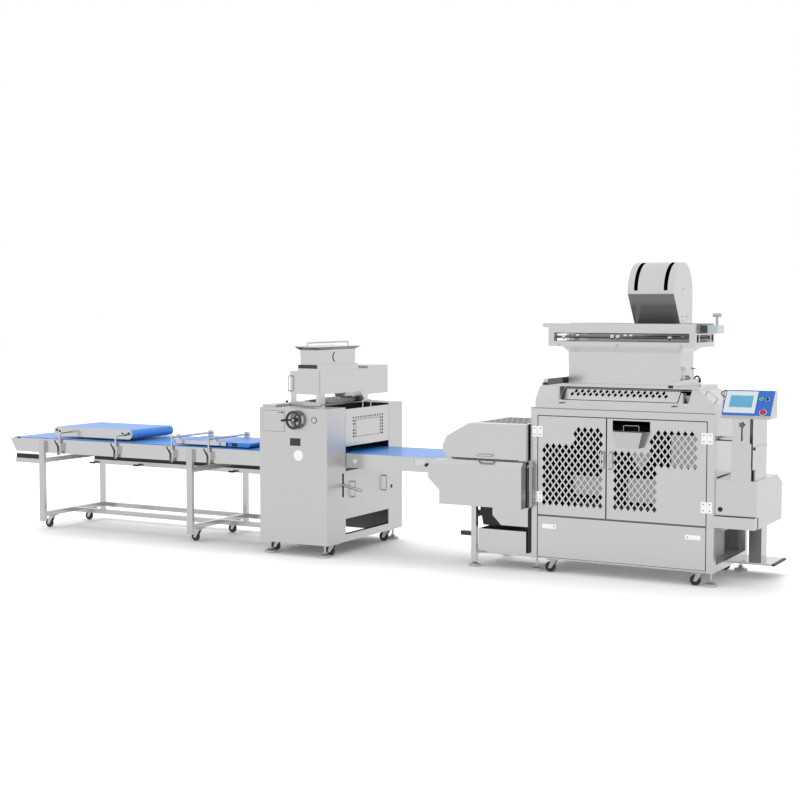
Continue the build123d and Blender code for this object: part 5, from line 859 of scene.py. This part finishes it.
frame_screws = leaf_screws(32.5) + leaf_screws(1413.5) + [screw(x, -2.5, 358) for x in (196, 1250)]
add_piece("frame_screws", frame_screws, steel_dark, "line")
add_piece("left_door_screws", leaf_screws(80.5), steel_dark, "left_door")
add_piece("right_door_screws", leaf_screws(1365.5), steel_dark, "right_door")

# %% [markdown]
# ## Expanded metal
# The outfeed hood's roof is closed by fine expanded metal. Its strands are waves that touch their neighbours:
# strand n runs along X at y = n pitch + (-1)^n pitch/2 cos(x), so each pair of strands makes a row of eyes.

# %% Expanded metal
mesh_x, mesh_y, mesh_z = (-440, -52), (15, 580), 1133.8
pitch, eye, strand_radius = 14.0, 26.0, 1.1
strand_x = np.linspace(*mesh_x, 92)
wave = pitch / 2 * np.cos(2 * pi * strand_x / eye)
strands = []
for row, y in enumerate(np.arange(mesh_y[0] + pitch, mesh_y[1] - pitch / 2, pitch)):
    strand_y = y + (-1) ** row * wave
    path = np.column_stack([strand_x, strand_y, np.full(len(strand_x), mesh_z)]) / 1000
    strands.append(bent(path + np.array([*DIVIDER, 0]), strand_radius, 4))
add_piece("roof_strands", strands, steel_dark, "outfeed_hood")

# %% [markdown]
# ## Duster coil and small fittings
# A wire coil lies behind the duster's side window to break up the flour; a coil is a circle carried along a
# helix. The small fittings are a ball knob on the moulder's top cover, a latch on its access panel, a ring
# round its plug, a grommet on the side housing, a knob that tracks the infeed belt, and polished knobs on the
# partition rods. Such a knob is a half circle spun round, with a straight collar at each end on the rod.

# %% Duster coil and small fittings
coil_turns, coil_length, coil_radius = 11, 0.270, 0.016
coil = np.linspace(0, coil_turns * 2 * pi, 230)[:, None]
coil_path = spot(MOULDER, 398, 352, 1264) + coil / coil[-1] * coil_length * towards_y
coil_path = coil_path + coil_radius * (np.cos(coil) * towards_x + np.sin(coil) * towards_z)
add_piece("duster_coil", [bent(coil_path, 3, 8)], white, "line")
ball_profile = [(0, 0), (0, 5), (7, 5), (8, 8), (11, 11), (16, 12), (21, 10), (24, 6), (25, 0)]
ball = turned(ball_profile, spot(MOULDER, 16, 383, 1222), upright, 20)
add_piece("cover_knob", [ball], black, "line")
latch_run = np.linspace(spot(MOULDER, 190, -4, 1171), spot(MOULDER, 232, -4, 1174), 5)
latch_boss = [(0, 0), (0, 7), (4, 7), (5, 6), (5, 0)]
latch_shapes = [bent(latch_run, 2.5, 8), turned(latch_boss, spot(MOULDER, 228, 0, 1174), front, 16)]
add_piece("access_latch", latch_shapes, grey_plastic, "line")
plug_profile = [(0, 21), (0, 26), (3, 26), (4.5, 24.5), (4.5, 22), (3, 21)]
plug_ring = turned(plug_profile, spot(MOULDER, 531, 0, 1120), front, ring=True)
add_piece("plug_ring", [plug_ring], steel_dark, "line")
lip_profile = [(0.1, 0), (0.1, 18), (2, 18), (3.4, 16.5), (3.4, 12), (2.4, 10), (2.4, 0)]
grommet = turned(lip_profile, spot(DIVIDER, 1485, 20, 575), front, 28)
add_piece("housing_grommet", [grommet], black, "line")
knob_profile = [(0.1, 0), (0.1, 7), (5, 7), (6, 13), (8, 14.5), (15, 14.5), (17, 13), (17.5, 0)]
tracking_knob = turned(knob_profile, spot(DIVIDER, -893, -20, 777), front, 20)
add_piece("tracking_knob", [tracking_knob], black, "line")
collar, collar_start, collar_end, knob_radius = 9.5, 14.2, 19, 17
swelling = np.linspace(radians(35), radians(145), 11)
half_circle = np.column_stack([-knob_radius * np.cos(swelling), knob_radius * np.sin(swelling)])
near_collar = [(-collar_end, 0), (-collar_end, collar), (-collar_start, collar)]
far_collar = [(collar_start, collar), (collar_end, collar), (collar_end, 0)]
rod_knob = np.vstack([near_collar, half_circle, far_collar])
rod_knob_places = [spot(DIVIDER, x + 14, y, 1804.5) for x in knob_starts for y in rod_ys]
rod_knobs = [turned(rod_knob, at, towards_x, 16) for at in rod_knob_places]
add_piece("partition_knobs", rod_knobs, bright, "line")

# %% [markdown]
# ## Bolts, rivets and hinge knuckles
# The press board's side plate is bolted to its end rollers and the hopper frame's beam to its ring, the feed
# hood is riveted along its right seam, and the outfeed cover hangs on a knuckled hinge. The knuckles are one
# profile whose radius steps in and out.

# %% Bolts, rivets and hinge knuckles
bolt = [(-0.5, 0), (-0.5, 11), (5, 11), (6.5, 9.5), (6.5, 5), (3, 4), (3, 0)]
bolt_places = [(465, 905), (500, 892), (1270, 892), (1305, 905), (1235, 900)]
bolts = [turned(bolt, spot(TABLE, x, 118, z), front, 12) for x, z in bolt_places]
add_piece("press_board_bolts", bolts, steel_dark, "press_board")
rivet = [(-0.5, 0), (-0.5, 5), (0.5, 5), (2, 3.5), (2.6, 0)]
rivet_places = [(353, 2167), (353, 1930), (430, 1962), (330, 1962), (470, 1950)]
rivets = [turned(rivet, spot(DIVIDER, 1080, y, z), towards_x, 10) for y, z in rivet_places]
add_piece("hood_rivets", rivets, steel_dark, "line")
beam_bolts = [turned(bolt, spot(DIVIDER, x, 110, 1746), front, 12) for x in (183, 652, 1147)]
add_piece("beam_bolts", beam_bolts, steel_tube, "line")
knuckle_in, knuckle_out = 6.2, 6.95
steps = np.arange(493, 806, 13.0)
step_radius = np.where(np.arange(len(steps) - 1) % 2, knuckle_in, knuckle_out)
knuckle = np.column_stack([np.repeat(steps, 2)[1:-1], np.repeat(step_radius, 2)])
knuckle = np.vstack([[knuckle[0, 0], 0], knuckle, [knuckle[-1, 0], 0]])
knuckles = turned(knuckle, spot(DIVIDER, -7, -43, 0), upright, 14)
add_piece("cover_knuckles", [knuckles], steel_dark, "outfeed_cover")

# %% [markdown]
# ## Folded strips
# Behind the slot in the hopper frame's front beam, the rear beam is closed by a thin apron with rolled edges,
# and a second sheet closes the feed throat at the back. A pale one lies behind the window in the infeed's
# side, and small black slides sit under the smoothing board's edge. Each is one closed section in Y and Z,
# carried along X, with its ends drawn to the section's middle.


# %% Folded strips
def carried(section, x, unit):
    """A closed section in mm carried along X: p(k, j) = (x(k), section(j)); ends run to its middle."""
    section = np.asarray(section, float)
    middle = np.tile(section.mean(0), (len(section), 1))
    rows = np.stack([middle, section, section, middle])
    points = np.empty((4, len(section), 3))
    points[:, :, 0] = np.array([x[0], x[0], x[1], x[1]])[:, None] / 1000 + unit[0]
    points[:, :, 1] = rows[:, :, 0] / 1000 + unit[1]
    points[:, :, 2] = rows[:, :, 1] / 1000
    return points.reshape(-1, 3), quads(4, len(section))


def rolled(y, low, high, roll, thick):
    """The section of a strip that stands at y, with its two long edges rolled towards the operator."""
    curl = np.linspace(-pi / 2, pi / 2, 7)
    top_edge = np.column_stack([y - thick - roll * np.cos(curl), high - roll + roll * np.sin(curl)])
    low_edge = np.column_stack([y - thick - roll * np.cos(curl), low + roll + roll * np.sin(curl)])
    inner = [[y - thick, high - 3 * roll], [y - thick, low + 3 * roll]]
    return np.vstack([[[y, low], [y, high]], top_edge[::-1], inner, low_edge[::-1]])


# Two dark bands on the apron are painted shadow of the slot's lips.
shade_boxes = [box(DIVIDER, (90, 1260), (550, 570), z) for z in ((1757, 1772), (1821, 1851))]
apron_finish = brushed_steel("apron_steel", coats=[(shade_boxes, pewter_and_shade)])
apron = carried(rolled(567.2, 1760, 1849, 3, 1.8), (98, 1252), DIVIDER)
add_piece("rear_apron", [apron], apron_finish, "line")
# The throat sheet's front is painted dark: painted shade.
throat_coats = [coat(painted_shade, DIVIDER, (240, 1250), (540, 557.5), (1260, 1430))]
throat_finish = brushed_steel("throat_steel", coats=throat_coats)
throat_sheet = carried(rolled(558, 1268, 1426, 3, 2.5), (249, 1240), DIVIDER)
add_piece("throat_sheet", [throat_sheet], throat_finish, "line")
window_sheet = carried(rolled(-14.5, 758, 828, 1, 1.2), (-1014, -882), DIVIDER)
add_piece("window_sheet", [window_sheet], bright_white, "line")

# %% [markdown]
# A slide's section is a superellipse, |y/3|^6 + |z/13|^6 = 1, which is a rectangle with soft corners.

# %% Board slides
slide_turn = circle(24)
squareness = 2 / 6


def soft_corner(wave):
    """A sine or cosine pushed out towards 1 and -1."""
    return np.sign(wave) * np.abs(wave) ** squareness


slide_y = 68.5 + 3 * soft_corner(np.cos(slide_turn))
slide_z = 862 + 13 * soft_corner(np.sin(slide_turn))
slide_section = np.column_stack([slide_y, slide_z])
slides = [carried(slide_section, x, TABLE) for x in ((2288, 2322), (2376, 2422), (2466, 2518))]
add_piece("board_slides", slides, black, "smoothing_board")

# %% [markdown]
# ## Blanking plates
# Thin grey plates close some of the doors' holes from inside. Three are flat strips, carried along X like the
# ones above. The fourth is a triangle that stands on its point, and a spin of only three steps makes it.

# %% Blanking plates
blank_finish = brushed_steel("blank_steel", tint=grey(0.32), rough=(0.3, 0.4))
blank_front, blank_back = 2.6, 4.1


def blank(x, z):
    """A flat plate behind a door's sheet."""
    low, high = z
    section = [(blank_front, low), (blank_front, high), (blank_back, high), (blank_back, low)]
    return carried(section, x, DIVIDER)


triangle_profile = [(0, 0), (0, 103), (1.5, 103), (1.5, 0)]
triangle = turned(triangle_profile, spot(DIVIDER, 882, blank_front, 914), towards_y, 3)
add_piece("left_door_blank", [blank((360, 600), (623, 761))], blank_finish, "left_door")
right_blanks = [blank((787, 1040), (587, 765)), blank((1119, 1345), (862, 1100)), triangle]
add_piece("right_door_blanks", right_blanks, blank_finish, "right_door")

# %% [markdown]
# ## Bent rods and a seal
# A black bow stands behind the right slide rail, a thin grey one stands out from the console, and a rubber
# seal closes the gap between the outfeed unit and the cabinet. Each is a circle carried along a line or a bend.

# %% Bent rods and a seal
arc = np.linspace(0, pi, 24)[:, None]
swing, bulge = np.cos(arc), np.sin(arc)
rail_bend = spot(DIVIDER, 1172, 420, 1468) + 0.026 * swing * towards_x + 0.046 * bulge * towards_z
add_piece("rail_bow", [bent(rail_bend, 7, 12)], black, "line")
console_bend = spot(DIVIDER, 1512, 75, 1410) - 0.045 * bulge * towards_x + 0.025 * swing * towards_z
add_piece("console_bow", [bent(console_bend, 4, 12)], grey_plastic, "line")
seal_ys, seal_foot, seal_top = (-22, -4, 14), 140, 490
seals = []
for y in seal_ys:
    seal_run = np.linspace(spot(DIVIDER, -6, y, seal_foot), spot(DIVIDER, -6, y, seal_top), 8)
    seals.append(bent(seal_run, 5.5, 12))
add_piece("cabinet_seal", seals, black, "line")

# %% [markdown]
# ## Floor and light
# A white sweep with soft light from all round and one broad lamp above. The world is white to the camera and
# to reflections, and a little lower as a lamp. The floor is over-exposed to the camera, so only the tight
# shadow under the line is left of it, and the steel sees white mixed into it. The lamp isn't seen in
# reflections, because a sheet that faces up would glare.

# %% Floor
SEEN_RAYS = ("Is Camera Ray", "Is Glossy Ray", "Is Transmission Ray")
FLOOR_WHITE, FLOOR_EXPOSED, FLOOR_GLOW = 0.93, 1.45, 0.55
half_floor = 40.0
floor_corners = [(half_floor * x, half_floor * y, 0) for x, y in ((-1, -1), (1, -1), (1, 1), (-1, 1))]
floor_mesh = bpy.data.meshes.new("floor")
floor_mesh.from_pydata(floor_corners, [], [(0, 1, 2, 3)])
floor = bpy.data.objects.new("floor", floor_mesh)
scene.collection.objects.link(floor)
floor_finish = bpy.data.materials.new("floor_white")
floor_finish.use_nodes = True
floor_tree = floor_finish.node_tree
floor_tree.nodes.clear()
floor_rays = put(floor_tree, "ShaderNodeLightPath").outputs
mirrored = any_of(floor_tree, [floor_rays[kind] for kind in SEEN_RAYS[1:]])
glow_share = between(floor_tree, mirrored, 0.0, FLOOR_GLOW)


def matt(white):
    """The floor's plain white."""
    return put(floor_tree, "ShaderNodeBsdfDiffuse", {"Color": (white, white, white, 1)}).outputs[0]


def mix_shaders(share, first, second):
    """Blends two of the floor's shaders; a share of 0 is the first."""
    return put(floor_tree, "ShaderNodeMixShader", {0: share, 1: first, 2: second}).outputs[0]


glow = put(floor_tree, "ShaderNodeEmission", {"Color": (1, 1, 1, 1), "Strength": 1.0}).outputs[0]
lifted = mix_shaders(glow_share, matt(FLOOR_WHITE), glow)
shown = mix_shaders(floor_rays["Is Camera Ray"], lifted, matt(FLOOR_EXPOSED))
put(floor_tree, "ShaderNodeOutputMaterial", {"Surface": shown})
floor_mesh.materials.append(floor_finish)

# %% Light
world = bpy.data.worlds.new("studio")
world.use_nodes = True
scene.world = world
world_tree = world.node_tree
world_tree.nodes.clear()
world_rays = put(world_tree, "ShaderNodeLightPath").outputs
seen = any_of(world_tree, [world_rays[kind] for kind in SEEN_RAYS])
strength = between(world_tree, seen, 0.78, 1.0)
sky = put(world_tree, "ShaderNodeBackground", {"Color": (1, 1, 1, 1), "Strength": strength})
put(world_tree, "ShaderNodeOutputWorld", {"Surface": sky.outputs[0]})

lamp = bpy.data.lights.new("key", "SUN")
lamp.energy = 0.8
lamp.angle = radians(40)
key = bpy.data.objects.new("key", lamp)
key.rotation_euler = (radians(-28), radians(-22), 0)
key.visible_glossy = False
scene.collection.objects.link(key)
print("floor:", 2 * half_floor, "m wide; lamp:", lamp.energy)
